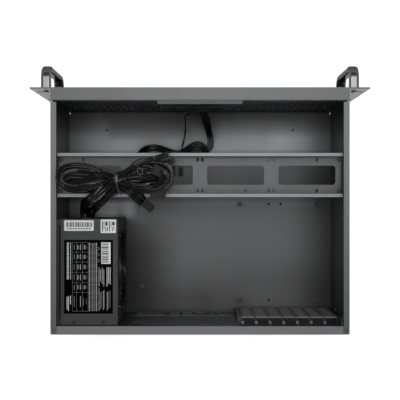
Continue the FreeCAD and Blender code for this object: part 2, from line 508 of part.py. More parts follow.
front_w = plate("XZ", [rect("XZ", PY0, ex0, PZ0 + PT + 0.15, PX1, PZ1 - PT - 0.15), circle("XZ", PY0, GROM_X, GROM_Z, GROM_R)], PT)
far = box(PX1 - PT, PY0, PZ0, PX1, PY1, PZ1)
edge = [box(P_SEAM + 0.25, PY0, PZ1 - PT, PX1 + LIP, PY1, PZ1), box(P_SEAM + 0.25, PY0, PZ0, PX1, PY1, PZ0 + PT)]
tabs = []
for y0, y1 in ((PY1 - 9.0, PY1 - PT), (PY0 + PT, PY0 + 9.0)):
    for z0, z1 in ((PZ1 - 2 * PT - 0.15, PZ1 - PT - 0.15), (PZ0 + PT + 0.15, PZ0 + 2 * PT + 0.15)):
        tabs.append(box(ex0, y0, z0, PX1 - PT + 0.1, y1, z1))
base = fuse([back, front_w, far] + edge + tabs)
base = base.cut(box(P_SEAM - 1.0, PY0 + SEAM_Y[0], PZ1 - PT - 0.02, P_SEAM + SEAM_GAP, PY0 + SEAM_Y[1], PZ1 + 1.0))
base = cut(base, [cyl((x, y, z0), (0, 0, 1), 1.4, 4) for x in (139.4, 182.1) for y in (PY1 - 4.4,) for z0 in (PZ1 - 4.4, PZ0 + 0.6)])
put("psu_base", base)
case_screws = [screw((x, PY1 - 4.4, PZ1), (0, 0, 1), 2.9, 1.2, 1.3, 2.4) for x in (139.4, 182.1)]
put("psu_mount_screws", Part.makeCompound([screw((x, Y_BACK + T, z), (0, 1, 0), 3.6, 2.0, 1.45, 5.5) for x, z in PSU_SCREWS]))
grom = cut(cyl((GROM_X, PY0 - 1.6, GROM_Z), (0, 1, 0), GROM_R + 1.8, 4.0), [cyl((GROM_X, PY0 - 3, GROM_Z), (0, 1, 0), GROM_R - 2.2, 8)])
groove = cut(cyl((GROM_X, PY0, GROM_Z), (0, 1, 0), GROM_R + 4, PT), [cyl((GROM_X, PY0 - 1, GROM_Z), (0, 1, 0), GROM_R - 0.05, 8)])
put("psu_cable_grommet", grom.cut(groove))

# fan: square frame with its motor cup on four struts, a seven-blade rotor, and a wire guard outside the case
FX0, FX1 = FAN_X0, FAN_X0 + FAN_D
fr = plate("YZ", [rrect("YZ", FX0, FAN_Y - 60, FAN_Z - 60, FAN_Y + 60, FAN_Z + 60, 5.0), circle("YZ", FX0, FAN_Y, FAN_Z, 57.0)] + [circle("YZ", FX0, y, z, 2.2) for y, z in fan_holes], FAN_D)
cup = cyl((FX1 - 6.0, FAN_Y, FAN_Z), (1, 0, 0), 20.0, 6.0)
struts = []
for a in (45, 135, 225, 315):
    b = box(FX1 - 4.0, FAN_Y + 18.0, FAN_Z - 2.0, FX1, FAN_Y + 57.6, FAN_Z + 2.0)
    b.rotate(V(0, FAN_Y, FAN_Z), V(1, 0, 0), a - 12)
    struts.append(b)
fr = fuse([fr, cup] + struts).cut(cyl((FX1 - 7, FAN_Y, FAN_Z), (1, 0, 0), 2.05, 6.0))
put("psu_fan_frame", fr)
hub = cyl((FX0 + 3.0, FAN_Y, FAN_Z), (1, 0, 0), 20.0, 15.5)
hub = hub.makeFillet(1.5, [e for e in hub.Edges if abs(e.CenterOfMass.x - (FX0 + 3.0)) < 1e-6 and e.Length > 60])
rot = [hub, cyl((FX0 + 18.0, FAN_Y, FAN_Z), (1, 0, 0), 2.0, 5.5)]


def blade_wire(r, chord, pitch, sweep, n=4):
    """A thin cambered section of a blade, square to its radius."""
    top, bot = [], []
    for k in range(n + 1):
        s = (k / n - 0.5) * chord
        camber = 2.2 * (1 - (2 * k / n - 1) ** 2)
        u = s * math.cos(math.radians(pitch)) - camber * math.sin(math.radians(pitch))
        w = s * math.sin(math.radians(pitch)) + camber * math.cos(math.radians(pitch))
        for off, keep in ((0.7, top), (-0.7, bot)):
            uu = u - off * math.sin(math.radians(pitch))
            ww = w + off * math.cos(math.radians(pitch))
            keep.append(V(FX0 + 10.6 + ww, FAN_Y + uu, FAN_Z + r))
    p = top + bot[::-1]
    w = Part.makePolygon(p + [p[0]])
    w.rotate(V(0, FAN_Y, FAN_Z), V(1, 0, 0), -sweep)
    return w


for k in range(7):
    w = [blade_wire(19.0, 17.0, 42.0, 0), blade_wire(37.0, 24.0, 34.0, 7), blade_wire(53.0, 29.0, 26.0, 15)]
    b = Part.makeLoft(w, True, True)
    b.rotate(V(0, FAN_Y, FAN_Z), V(1, 0, 0), 360.0 / 7 * k)
    rot.append(b)
put("psu_fan_rotor", fuse(rot))
GX = PX0 - 1.0
gr = []
for r in (12.0, 21.5, 31.0, 40.5, 50.0, 57.5):
    gr.append(Part.makeTorus(r, 0.8, V(GX, FAN_Y, FAN_Z), V(1, 0, 0)))
arms = []
for a in (45, 135, 225, 315):
    c, s = math.cos(math.radians(a)), math.sin(math.radians(a))
    arms.append(cyl((GX + 0.1, FAN_Y + 11.0 * c, FAN_Z + 11.0 * s), (0, c, s), 0.8, 60.5))
    eye = cyl((GX - 0.2, FAN_Y + 74.2 * c, FAN_Z + 74.2 * s), (1, 0, 0), 4.2, 1.1).cut(cyl((GX - 2, FAN_Y + 74.2 * c, FAN_Z + 74.2 * s), (1, 0, 0), 1.9, 4))
    arms.append(eye)
grille = fuse(gr + arms)
put("psu_fan_guard", grille)
put("psu_screws", Part.makeCompound(case_screws + [screw((GX - 0.25, y, z), (-1, 0, 0), 3.4, 1.7, 1.6, 9.0) for y, z in ((FAN_Y + 74.2 * math.cos(math.radians(a)), FAN_Z + 74.2 * math.sin(math.radians(a))) for a in (45, 135, 225, 315))]))

# mains inlet and rocker switch
inl = rrect("XZ", PY1, INX - 12.5, INZ - 16.0, INX + 12.5, INZ + 16.0, 3.0)
flange = plate("XZ", [inl], 1.6)
body = plate("XZ", [rrect("XZ", PY1 - 17.0, INX - 9.9, INZ - 13.5, INX + 9.9, INZ + 13.5, 2.0)], 17.5)
cav_pts = [(INX - 7.8, INZ - 12.0), (INX + 4.2, INZ - 12.0), (INX + 7.8, INZ - 8.4), (INX + 7.8, INZ + 8.4), (INX + 4.2, INZ + 12.0), (INX - 7.8, INZ + 12.0)]
cav = plate("XZ", [ring("XZ", PY1 - 15.0, cav_pts)], 20.0)
inlet = fuse([flange, body]).cut(cav)
put("psu_inlet", Part.makeCompound([inlet] + [box(x - 1.0, PY1 - 18.0, z - 2.0, x + 1.0, PY1 - 5.5, z + 2.0) for x, z in ((INX - 1.8, INZ - 7.0), (INX - 1.8, INZ + 7.0), (INX + 2.4, INZ))]))
fl = plate("XZ", [rrect("XZ", PY1, SWX - 8.4, SWZ - 11.4, SWX + 8.4, SWZ + 11.4, 1.5), rect("XZ", PY1, SWX - 5.2, SWZ - 8.2, SWX + 5.2, SWZ + 8.2)], 1.8)
bd = box(SWX - 6.4, PY1 - 12.0, SWZ - 9.4, SWX + 6.4, PY1 + 0.2, SWZ + 9.4).cut(box(SWX - 5.2, PY1 - 10.0, SWZ - 8.2, SWX + 5.2, PY1 + 5, SWZ + 8.2))
# rocker: cap with two faces at a shallow angle, turning about a pin along X
RP = (SWX, PY1 - 1.4, SWZ)
prof = [(-7.4, 3.2), (0.0, 1.5), (7.4, 3.2), (7.4, -1.4), (2.6, -4.4), (-2.6, -4.4), (-7.4, -1.4)]
rk = Part.Face(Part.makePolygon([V(SWX - 4.9, RP[1] + b, RP[2] + a) for a, b in prof + prof[:1]])).extrude(V(9.8, 0, 0))
rk = rk.cut(cyl((SWX - 6, RP[1], RP[2]), (1, 0, 0), 1.05, 12))
rk.rotate(V(*RP), V(1, 0, 0), -7.0)
put("psu_rocker", rk)
put("psu_switch_frame", fuse([fl, bd, cyl((SWX - 5.3, RP[1], RP[2]), (1, 0, 0), 1.0, 10.6)]))

# inside of the power supply
put("psu_board", box(PX1 - 8.5, PY0 + 6.0, PZ0 + 6.0, PX1 - 6.9, PY1 - 20.0, PZ1 - 6.0))
hs = []
for z in (52.0, 100.0):
    hs.append(box(PX1 - 52.0, PY0 + 22.0, z, PX1 - 8.5, PY1 - 48.0, z + 3.0))
    for k in range(6):
        hs.append(box(PX1 - 52.0, PY0 + 24.0 + k * 14.0, z + 3.0, PX1 - 12.0, PY0 + 25.6 + k * 14.0, z + 15.0))
parts_in = [fuse(hs[:7]), fuse(hs[7:])]
parts_in.append(fuse([box(PX1 - 42.0, 84.0, 68.5, PX1 - 8.5, 118.0, 97.5), box(PX1 - 46.0, 90.0, 74.0, PX1 - 8.5, 112.0, 94.0)]))
put("psu_board_parts", Part.makeCompound(parts_in + [cyl((PX1 - 8.5, y, z), (-1, 0, 0), 11.0, 34.0) for y, z in ((58.0, 27.0), (84.0, 27.0), (110.0, 27.0))]))

# labels: thin printed films on the upper face
def film(x0, y0, x1, y1, r, t=0.15):
    return plate("XY", [rrect("XY", PZ1 + 0.01, x0, y0, x1, y1, r)], t)


put("psu_label", film(125.6, 60.0, 196.0, 166.4, 0.6))
put("psu_stickers", Part.makeCompound([film(153.3, 31.7, 196.0, 47.0, 1.6), film(121.1, 30.6, 143.3, 50.2, 0.4)]))

# ---------------------------------------------------------------- cables
# Leads of the power supply, each as far as the tied hank: name, diameter, route.
LEADS = {
    "lead_mainboard": (7.5, [(158.4, 29.5, 128.4), (158.3, 17.0, 130.6), (156.6, 9.7, 142.6), (153.2, 7.8, 157.6), (148.0, 6.3, 172.4), (140.4, 3.2, 182.2), (131.6, -3.9, 183.6), (123.4, -11.3, 180.6), (116.6, -18.2, 176.6)]),
    "lead_drives": (5.5, [(165.7, 29.5, 128.4), (165.6, 17.0, 130.6), (163.9, 9.4, 142.6), (160.4, 6.6, 157.6), (154.9, 4.0, 172.4), (146.2, -1.2, 182.2), (136.6, -9.2, 183.6), (128.2, -16.8, 180.6), (121.7, -23.4, 176.6)]),
    "lead_cpu": (6.0, [(172.4, 29.5, 128.4), (172.3, 17.0, 130.6), (170.6, 9.1, 142.6), (167.0, 5.5, 157.6), (161.3, 1.9, 172.4), (151.6, -5.2, 182.2), (141.2, -14.0, 183.6), (132.6, -21.8, 180.6), (126.4, -28.2, 176.6)]),
    "lead_sata": (5.0, [(164.1, 29.5, 135.3), (164.0, 17.8, 137.4), (162.3, 14.6, 147.2), (159.5, 13.4, 159.7), (155.1, 10.0, 176.2), (146.0, 2.2, 188.5), (135.8, -7.2, 190.4), (127.1, -15.6, 187.5), (120.6, -22.3, 183.5)]),
}
for n, (d, pts) in LEADS.items():
    put(n, tube(pts, d, n))

# hank: the folded leads, tied in the middle, on the beam
HANK_Z0, HANK_Z1 = 163.7, 184.5
outline = [(202.6, -46.0), (195.0, -51.5), (182.0, -51.7), (170.4, -47.6), (156.0, -43.2), (142.0, -38.5), (127.0, -35.4), (113.6, -37.0), (99.4, -45.0), (88.0, -55.0), (78.0, -57.6), (66.0, -57.0),
           (52.0, -52.0), (41.0, -44.0), (34.5, -31.8), (33.5, -21.0), (39.8, -11.0), (49.0, -7.6), (70.0, -7.6), (86.0, -8.6), (100.8, -12.6), (112.0, -15.4), (122.0, -12.6), (134.0, -10.4), (147.0, -10.6), (163.3, -8.6), (179.0, -7.6),
           (189.0, -8.8), (197.0, -15.0), (202.0, -23.0)]
hank = Part.Face(Part.makePolygon([V(x, y, HANK_Z0) for x, y in outline + outline[:1]])).extrude(V(0, 0, HANK_Z1 - HANK_Z0))

# connectors, each a body with its cavity openings
def place(shape, origin, direction, up):
    d = V(*direction)
    d = d / d.Length
    u = V(*up)
    u = u - d * u.dot(d)
    u = u / u.Length
    a = d.cross(u)
    m = FreeCAD.Matrix(a.x, d.x, u.x, origin[0], a.y, d.y, u.y, origin[1], a.z, d.z, u.z, origin[2], 0, 0, 0, 1)
    s = shape.copy()
    s.Placement = FreeCAD.Placement(m)
    return s


def conn_body(w, h, l, nx, nz, latch=True):
    b = box(-w / 2, 0, -h / 2, w / 2, l, h / 2)
    cells = []
    for i in range(nx):
        for j in range(nz):
            x, z = (i - (nx - 1) / 2) * (w - 1.2) / nx, (j - (nz - 1) / 2) * (h - 1.2) / nz
            cw, ch = (w - 1.2) / nx * 0.62, (h - 1.2) / nz * 0.62
            cells.append(box(x - cw / 2, l - 7.0, z - ch / 2, x + cw / 2, l + 1, z + ch / 2))
    b = b.cut(cells)
    if latch:
        b = fuse([b, box(-2.6, 2.0, h / 2 - 0.1, 2.6, l - 2.0, h / 2 + 1.6)])
    return b


put("connector_cpu", place(conn_body(18.8, 9.6, 17.0, 4, 2), (80.6, 5.6, 167.6), (-0.75, 0.66, -0.08), (-0.66, -0.75, 0)))
put("connector_mainboard", place(conn_body(51.6, 9.8, 19.0, 12, 2, False), (74.0, -45.0, 168.8), (0.0, 1.0, 0), (0, 0, 1)))
put("connectors_drives", Part.makeCompound([
    place(conn_body(23.0, 5.2, 12.0, 1, 1, False), (55.6, -59.5, 174.4), (0, 0, 1), (-0.35, 0.94, 0.0)),
    place(conn_body(23.0, 5.2, 12.0, 1, 1, False), (47.6, -51.5, 171.0), (0, 0, 1), (-0.25, 0.97, 0.0)),
    place(conn_body(21.0, 9.0, 15.0, 4, 1, False), (59.0, -14.6, 177.4), (0.05, 1.0, 0), (0, 0, 1)),
]))
for n in ("connector_cpu", "connector_mainboard", "connectors_drives"):
    for s in NODES[n].Solids:
        bb = s.BoundBox
        if n == "connector_mainboard":
            hank = hank.cut(box(bb.XMin - 0.2, bb.YMin - 0.2, bb.ZMin - 0.2, bb.XMax + 0.2, bb.YMax + 0.2, bb.ZMax + 0.2))
        else:
            hank = hank.cut(s)
hank = hank.cut([box(194.0, -60.0, 160.0, 205.0, -50.5, 166.0), box(194.0, -15.5, 160.0, 205.0, -5.0, 166.0)])
tie_x, tie_y = 118.0, -25.0
tie = cut(box(tie_x - 2.4, -37.6, HANK_Z0 - 1.2, tie_x + 2.4, -11.6, HANK_Z1 + 1.8), [box(tie_x - 3.0, -36.4, HANK_Z0, tie_x + 3.0, -12.8, HANK_Z1)])
knot = [cyl((tie_x - 1.6, -22.0, HANK_Z1 + 1.9), (-0.5, 0.85, 0.35), 1.4, 9.0), cyl((tie_x + 1.6, -22.0, HANK_Z1 + 1.9), (0.6, 0.75, 0.35), 1.4, 8.0)]
tie = fuse([tie] + knot)
hank = hank.cut(box(tie_x - 2.6, -60, 150, tie_x + 2.6, -36.2, 200)).cut(box(tie_x - 2.6, -13.0, 150, tie_x + 2.6, 0, 200))
put("cable_hank", hank)
put("cable_tie", tie)
CPU_TAIL = [(102.0, -18.6, 180.0), (96.6, -12.6, 182.6), (90.6, -6.0, 181.6), (85.6, -0.6, 176.4), (81.2, 4.9, 168.6)]
put("lead_cpu_tail", tube(CPU_TAIL, 6.0, "lead_cpu_tail"))

# front leads: the flat lead of the sockets and the thin lead of the buttons, down the wall to a small hank on the floor
FRONT_USB = (6.0, [(-5.0, PCB_Y + 8.1, 95.0), (-5.6, -121.5, 94.0), (-7.4, -114.5, 84.0), (-9.6, -113.5, 68.0), (-11.8, -114.5, 51.0), (-14.0, -115.0, 34.0), (-16.4, -112.0, 18.0), (-18.6, -105.0, 7.0), (-17.6, -96.6, 5.2), (-11.0, -90.0, 8.0)])
FRONT_SW = (2.6, [(14.5, PCB_Y + 7.3, 80.5), (17.0, -125.4, 79.0), (20.6, -122.0, 68.0), (22.4, -121.6, 52.0), (23.4, -119.6, 36.0), (24.4, -115.4, 20.0), (25.6, -108.6, 8.0), (27.0, -99.5, 3.2), (28.0, -90.0, 4.0)])
put("front_usb_lead", tube(FRONT_USB[1], FRONT_USB[0], "front_usb_lead"))
put("front_switch_lead", tube(FRONT_SW[1], FRONT_SW[0], "front_switch_lead"))
fh = [(-20.0, -92.0), (-6.0, -97.5), (14.0, -96.0), (32.0, -88.0), (50.0, -82.0), (62.0, -81.0), (78.0, -85.5), (96.0, -84.0), (108.0, -76.0), (110.0, -64.0), (100.0, -54.0), (70.0, -50.0), (36.0, -50.0), (6.0, -54.0), (-14.0, -62.0), (-21.0, -76.0)]
fhank = Part.Face(Part.makePolygon([V(x, y, T + 0.1) for x, y in fh + fh[:1]])).extrude(V(0, 0, 18.0))
fhank = fhank.cut([cyl((x, y, 0), (0, 0, 1), 4.2, STAND_H + T + 0.5) for x, y in BOARD_STANDOFFS])
put("front_hank", fhank)
put("front_connectors", Part.makeCompound([box(70.0, -49.6, T + 0.1, 90.0, -35.0, 8.0), box(40.0, -49.6, T + 0.1, 46.0, -36.0, 4.0), box(28.0, -49.6, T + 0.1, 34.0, -36.0, 4.0)]))

# ---------------------------------------------------------------- write one STEP per piece
os.makedirs("parts", exist_ok=True)
for f in os.listdir("parts"):
    if f.endswith(".step"):
        os.remove(os.path.join("parts", f))
bad = 0
for name, shape in NODES.items():
    ok = shape.isValid() and len(shape.Solids) > 0
    if not ok:
        bad += 1
    shape.exportStep(os.path.join("parts", name + ".step"))
    bb = shape.BoundBox
    print(f"{name:22s} {'ok ' if ok else 'BAD'} solids {len(shape.Solids)} vol {shape.Volume / 1000:.1f} cm3  X {bb.XMin:.1f}..{bb.XMax:.1f} Y {bb.YMin:.1f}..{bb.YMax:.1f} Z {bb.ZMin:.1f}..{bb.ZMax:.1f}")
print(len(NODES), "nodes,", bad, "bad")
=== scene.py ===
import bpy, bmesh, math, json
from mathutils import Vector, Matrix


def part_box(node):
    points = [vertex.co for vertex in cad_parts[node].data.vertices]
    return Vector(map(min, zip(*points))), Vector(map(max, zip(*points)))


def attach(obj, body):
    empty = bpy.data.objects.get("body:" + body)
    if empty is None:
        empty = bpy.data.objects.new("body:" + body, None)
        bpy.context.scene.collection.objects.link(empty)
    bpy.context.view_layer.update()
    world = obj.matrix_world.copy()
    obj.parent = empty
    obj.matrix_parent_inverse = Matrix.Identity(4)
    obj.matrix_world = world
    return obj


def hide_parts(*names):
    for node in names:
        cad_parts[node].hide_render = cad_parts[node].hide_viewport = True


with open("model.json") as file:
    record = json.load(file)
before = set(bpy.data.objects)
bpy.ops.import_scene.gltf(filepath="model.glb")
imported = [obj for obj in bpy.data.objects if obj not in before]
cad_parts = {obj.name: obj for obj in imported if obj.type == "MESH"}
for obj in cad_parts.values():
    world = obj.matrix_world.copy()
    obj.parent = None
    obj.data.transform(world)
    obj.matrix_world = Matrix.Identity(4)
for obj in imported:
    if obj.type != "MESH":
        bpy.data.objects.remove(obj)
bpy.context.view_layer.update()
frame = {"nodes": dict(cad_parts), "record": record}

NODE = frame["nodes"]
MM = 0.001

# ------------------------------------------------------------------ camera
cam_data = bpy.data.cameras.new("camera")
cam_data.lens, cam_data.sensor_width = 80.4, 36.0
cam_data.clip_start, cam_data.clip_end = 0.05, 30.0
cam = bpy.data.objects.new("camera", cam_data)
cam.location = (0.0, 0.0025, 1.440)
cam.rotation_euler = (0.0, 0.0, math.pi)
bpy.context.scene.collection.objects.link(cam)
bpy.context.scene.camera = cam


# ------------------------------------------------------------------ materials
def material(name, col, rough=0.5, metal=0.0, spec=0.5, coat=0.0, coat_rough=0.1, var=0.12, vscale=9.0, bump=0.12, bscale=1500.0,
             bdist=0.00012, stretch=(1, 1, 1), wear=0.0, wear_col=(0.5, 0.5, 0.52), round_edge=0.0, rvar=0.06, dust=0.0, fine=0.0, fine_scale=2600.0, top_tone_above=None, bare=2.0, top_tone_soft=0.0002, tint=None, tab=None, occlusion_shade=None, light_pools=()):
    m = bpy.data.materials.new(name)
    m.use_nodes = True
    nt = m.node_tree
    n, link = nt.nodes, nt.links
    bsdf = n["Principled BSDF"]
    tc = n.new("ShaderNodeTexCoord")
    mp = n.new("ShaderNodeMapping")
    mp.inputs["Scale"].default_value = stretch
    link.new(tc.outputs["Object"], mp.inputs["Vector"])

    def noise(scale, detail=3.0):
        t = n.new("ShaderNodeTexNoise")
        t.inputs["Scale"].default_value = scale
        t.inputs["Detail"].default_value = detail
        link.new(mp.outputs["Vector"], t.inputs["Vector"])
        return t.outputs["Fac"]

    def remap(src, lo, hi, a=0.3, b=0.7):
        r = n.new("ShaderNodeMapRange")
        for k, v in (("From Min", a), ("From Max", b), ("To Min", lo), ("To Max", hi)):
            r.inputs[k].default_value = v
        link.new(src, r.inputs["Value"])
        return r.outputs["Result"]

    def mix(fac, a, b, kind="MIX"):
        x = n.new("ShaderNodeMix")
        x.data_type, x.blend_type = "RGBA", kind
        for sock, v in ((x.inputs[0], fac), (x.inputs[6], a), (x.inputs[7], b)):
            if isinstance(v, (int, float)):
                sock.default_value = v
            elif isinstance(v, tuple):
                sock.default_value = (*v[:3], 1.0)
            else:
                link.new(v, sock)
        return x.outputs[2]

    dark = tuple(c * (1 - var) for c in col)
    light = tuple(min(1.0, c * (1 + var)) for c in col)
    colour = mix(remap(noise(vscale, 4.0), 0.0, 1.0), dark, light)
    if fine:
        colour = mix(remap(noise(fine_scale, 1.0), 0.0, 1.0, 0.35, 0.65), colour, mix(1.0, colour, (1 + fine, 1 + fine, 1 + fine), "MULTIPLY"))
    # lighter or darker top faces: above this height the colour is multiplied by the given factor; on the handle this is
    # a painted highlight on its top face, on the chassis, front and rear rims it is painted light and shade for how
    # light falls on them, on the beam lips it makes the lips lighter
    if top_tone_above:
        sz = n.new("ShaderNodeSeparateXYZ")
        link.new(tc.outputs["Object"], sz.inputs[0])
        hi = remap(sz.outputs["Z"], 0.0, 1.0, top_tone_above - top_tone_soft, top_tone_above + top_tone_soft)
        colour = mix(hi, colour, mix(1.0, colour, (bare, bare, bare), "MULTIPLY"))
    if tab:  # the part of a cover that lies flat behind the bend is darker
        sz = n.new("ShaderNodeSeparateXYZ")
        link.new(tc.outputs["Object"], sz.inputs[0])
        back = remap(sz.outputs["Y"], 0.0, 1.0, tab[0], tab[0] + 0.0006)
        high = remap(sz.outputs["Z"], 0.0, 1.0, tab[1] - 0.0002, tab[1])
        k = n.new("ShaderNodeMath"); k.operation = "MULTIPLY"
        link.new(back, k.inputs[0]); link.new(high, k.inputs[1])
        colour = mix(k.outputs[0], colour, mix(1.0, colour, (0.05, 0.05, 0.05), "MULTIPLY"))
    for x0, x1, y0, y1, soft, gain in light_pools:  # painted light and shadow: the floor paint is made lighter or darker inside a soft-edged box, standing in for pools of light and cast shadows
        sz = n.new("ShaderNodeSeparateXYZ")
        link.new(tc.outputs["Object"], sz.inputs[0])
        up = n.new("ShaderNodeSeparateXYZ")
        tn = n.new("ShaderNodeNewGeometry")
        link.new(tn.outputs["True Normal"], up.inputs[0])
        parts = [remap(sz.outputs["X"], 0.0, 1.0, x0, x0 + soft), remap(sz.outputs["X"], 1.0, 0.0, x1 - soft, x1),
                 remap(sz.outputs["Y"], 0.0, 1.0, y0, y0 + soft), remap(sz.outputs["Y"], 1.0, 0.0, y1 - soft, y1),
                 remap(sz.outputs["Z"], 1.0, 0.0, 0.012, 0.02), remap(up.outputs["Z"], 0.0, 1.0, 0.6, 0.9)]
        total = parts[0]
        for q in parts[1:]:
            k = n.new("ShaderNodeMath"); k.operation = "MULTIPLY"
            link.new(total, k.inputs[0]); link.new(q, k.inputs[1])
            total = k.outputs[0]
        colour = mix(total, colour, mix(1.0, colour, (gain, gain, gain), "MULTIPLY"))
    if occlusion_shade:  # painted shade: the paint colour is darkened where ambient occlusion finds nearby surfaces, in corners, near walls and beside parts, standing in for the shade there
        ao = n.new("ShaderNodeAmbientOcclusion")
        ao.samples = 6
        ao.inputs["Distance"].default_value = occlusion_shade[0]
        low = remap(ao.outputs["AO"], occlusion_shade[1], 1.0, 0.42, 0.93)
        g = n.new("ShaderNodeCombineColor")
        for q in range(3):
            link.new(low, g.inputs[q])
        colour = mix(1.0, colour, g.outputs[0], "MULTIPLY")
    geo = None
    if wear or dust:
        geo = n.new("ShaderNodeNewGeometry")
    if wear:
        eb = n.new("ShaderNodeBevel")
        eb.samples = 4
        eb.inputs["Radius"].default_value = max(0.0006, round_edge * 1.6)
        dt = n.new("ShaderNodeVectorMath"); dt.operation = "DOT_PRODUCT"
        link.new(eb.outputs["Normal"], dt.inputs[0]); link.new(geo.outputs["True Normal"], dt.inputs[1])
        edge = remap(dt.outputs["Value"], 1.0, 0.0, 0.88, 0.985)
        patch = remap(noise(70.0, 5.0), 0.0, 1.0, 0.45, 0.62)
        k = n.new("ShaderNodeMath"); k.operation = "MULTIPLY"
        link.new(edge, k.inputs[0]); link.new(patch, k.inputs[1])
        k2 = n.new("ShaderNodeMath"); k2.operation = "MULTIPLY"
        link.new(k.outputs[0], k2.inputs[0]); k2.inputs[1].default_value = wear
        colour = mix(k2.outputs[0], colour, tuple(wear_col))
    if dust:
        sep = n.new("ShaderNodeSeparateXYZ")
        link.new(geo.outputs["Normal"], sep.inputs[0])
        up = remap(sep.outputs["Z"], 0.0, 1.0, 0.6, 1.0)
        k = n.new("ShaderNodeMath"); k.operation = "MULTIPLY"
        link.new(up, k.inputs[0]); link.new(remap(noise(26.0, 6.0), 0.0, dust, 0.35, 0.75), k.inputs[1])
        colour = mix(k.outputs[0], colour, (0.42, 0.41, 0.40))
    link.new(colour, bsdf.inputs["Base Color"])
    link.new(remap(noise(vscale * 3.1, 3.0), max(0.03, rough - rvar), min(1.0, rough + rvar)), bsdf.inputs["Roughness"])
    bsdf.inputs["Metallic"].default_value = metal
    bsdf.inputs["Specular IOR Level"].default_value = spec
    bsdf.inputs["Coat Weight"].default_value = coat
    if tint is not None:
        bsdf.inputs["Specular Tint"].default_value = (tint, tint, tint, 1.0)
    bsdf.inputs["Coat Roughness"].default_value = coat_rough
    bp = n.new("ShaderNodeBump")
    bp.inputs["Strength"].default_value = bump
    bp.inputs["Distance"].default_value = bdist
    link.new(noise(bscale, 2.0), bp.inputs["Height"])
    if round_edge:
        bv = n.new("ShaderNodeBevel")
        bv.samples = 4
        bv.inputs["Radius"].default_value = round_edge
        link.new(bv.outputs["Normal"], bp.inputs["Normal"])
    link.new(bp.outputs["Normal"], bsdf.inputs["Normal"])
    return m


# painted light and shadow on the case floor: boxes (x0, x1, y0, y1, soft edge, gain) where the floor paint is lighter
# (gain above 1) or darker (gain below 1)
FLOOR_LIGHT_POOLS = [(-0.26, 0.26, -0.112, -0.064, 0.014, 1.4), (-0.26, 0.26, -0.080, 0.009, 0.010, 0.56), (-0.26, 0.26, -0.002, 0.26, 0.02, 0.77),
         (0.03, 0.16, 0.03, 0.26, 0.05, 0.44), (0.1, 0.23, -0.004, 0.036, 0.014, 2.9), (0.15, 0.23, -0.13, -0.06, 0.03, 1.3),
         (0.0, 0.16, -0.15, -0.094, 0.025, 0.7), (-0.19, -0.105, -0.125, -0.07, 0.025, 1.3),
         (-0.19, -0.06, 0.13, 0.26, 0.03, 1.35), (-0.04, 0.07, 0.13, 0.26, 0.03, 0.75),
         (0.084, 0.17, -0.002, 0.045, 0.01, 1.3), (0.128, 0.17, -0.002, 0.05, 0.012, 1.4), (0.128, 0.17, 0.014, 0.05, 0.01, 1.5), (-0.16, 0.16, -0.17, -0.118, 0.01, 0.8), (-0.035, 0.15, -0.128, -0.09, 0.009, 0.78)]
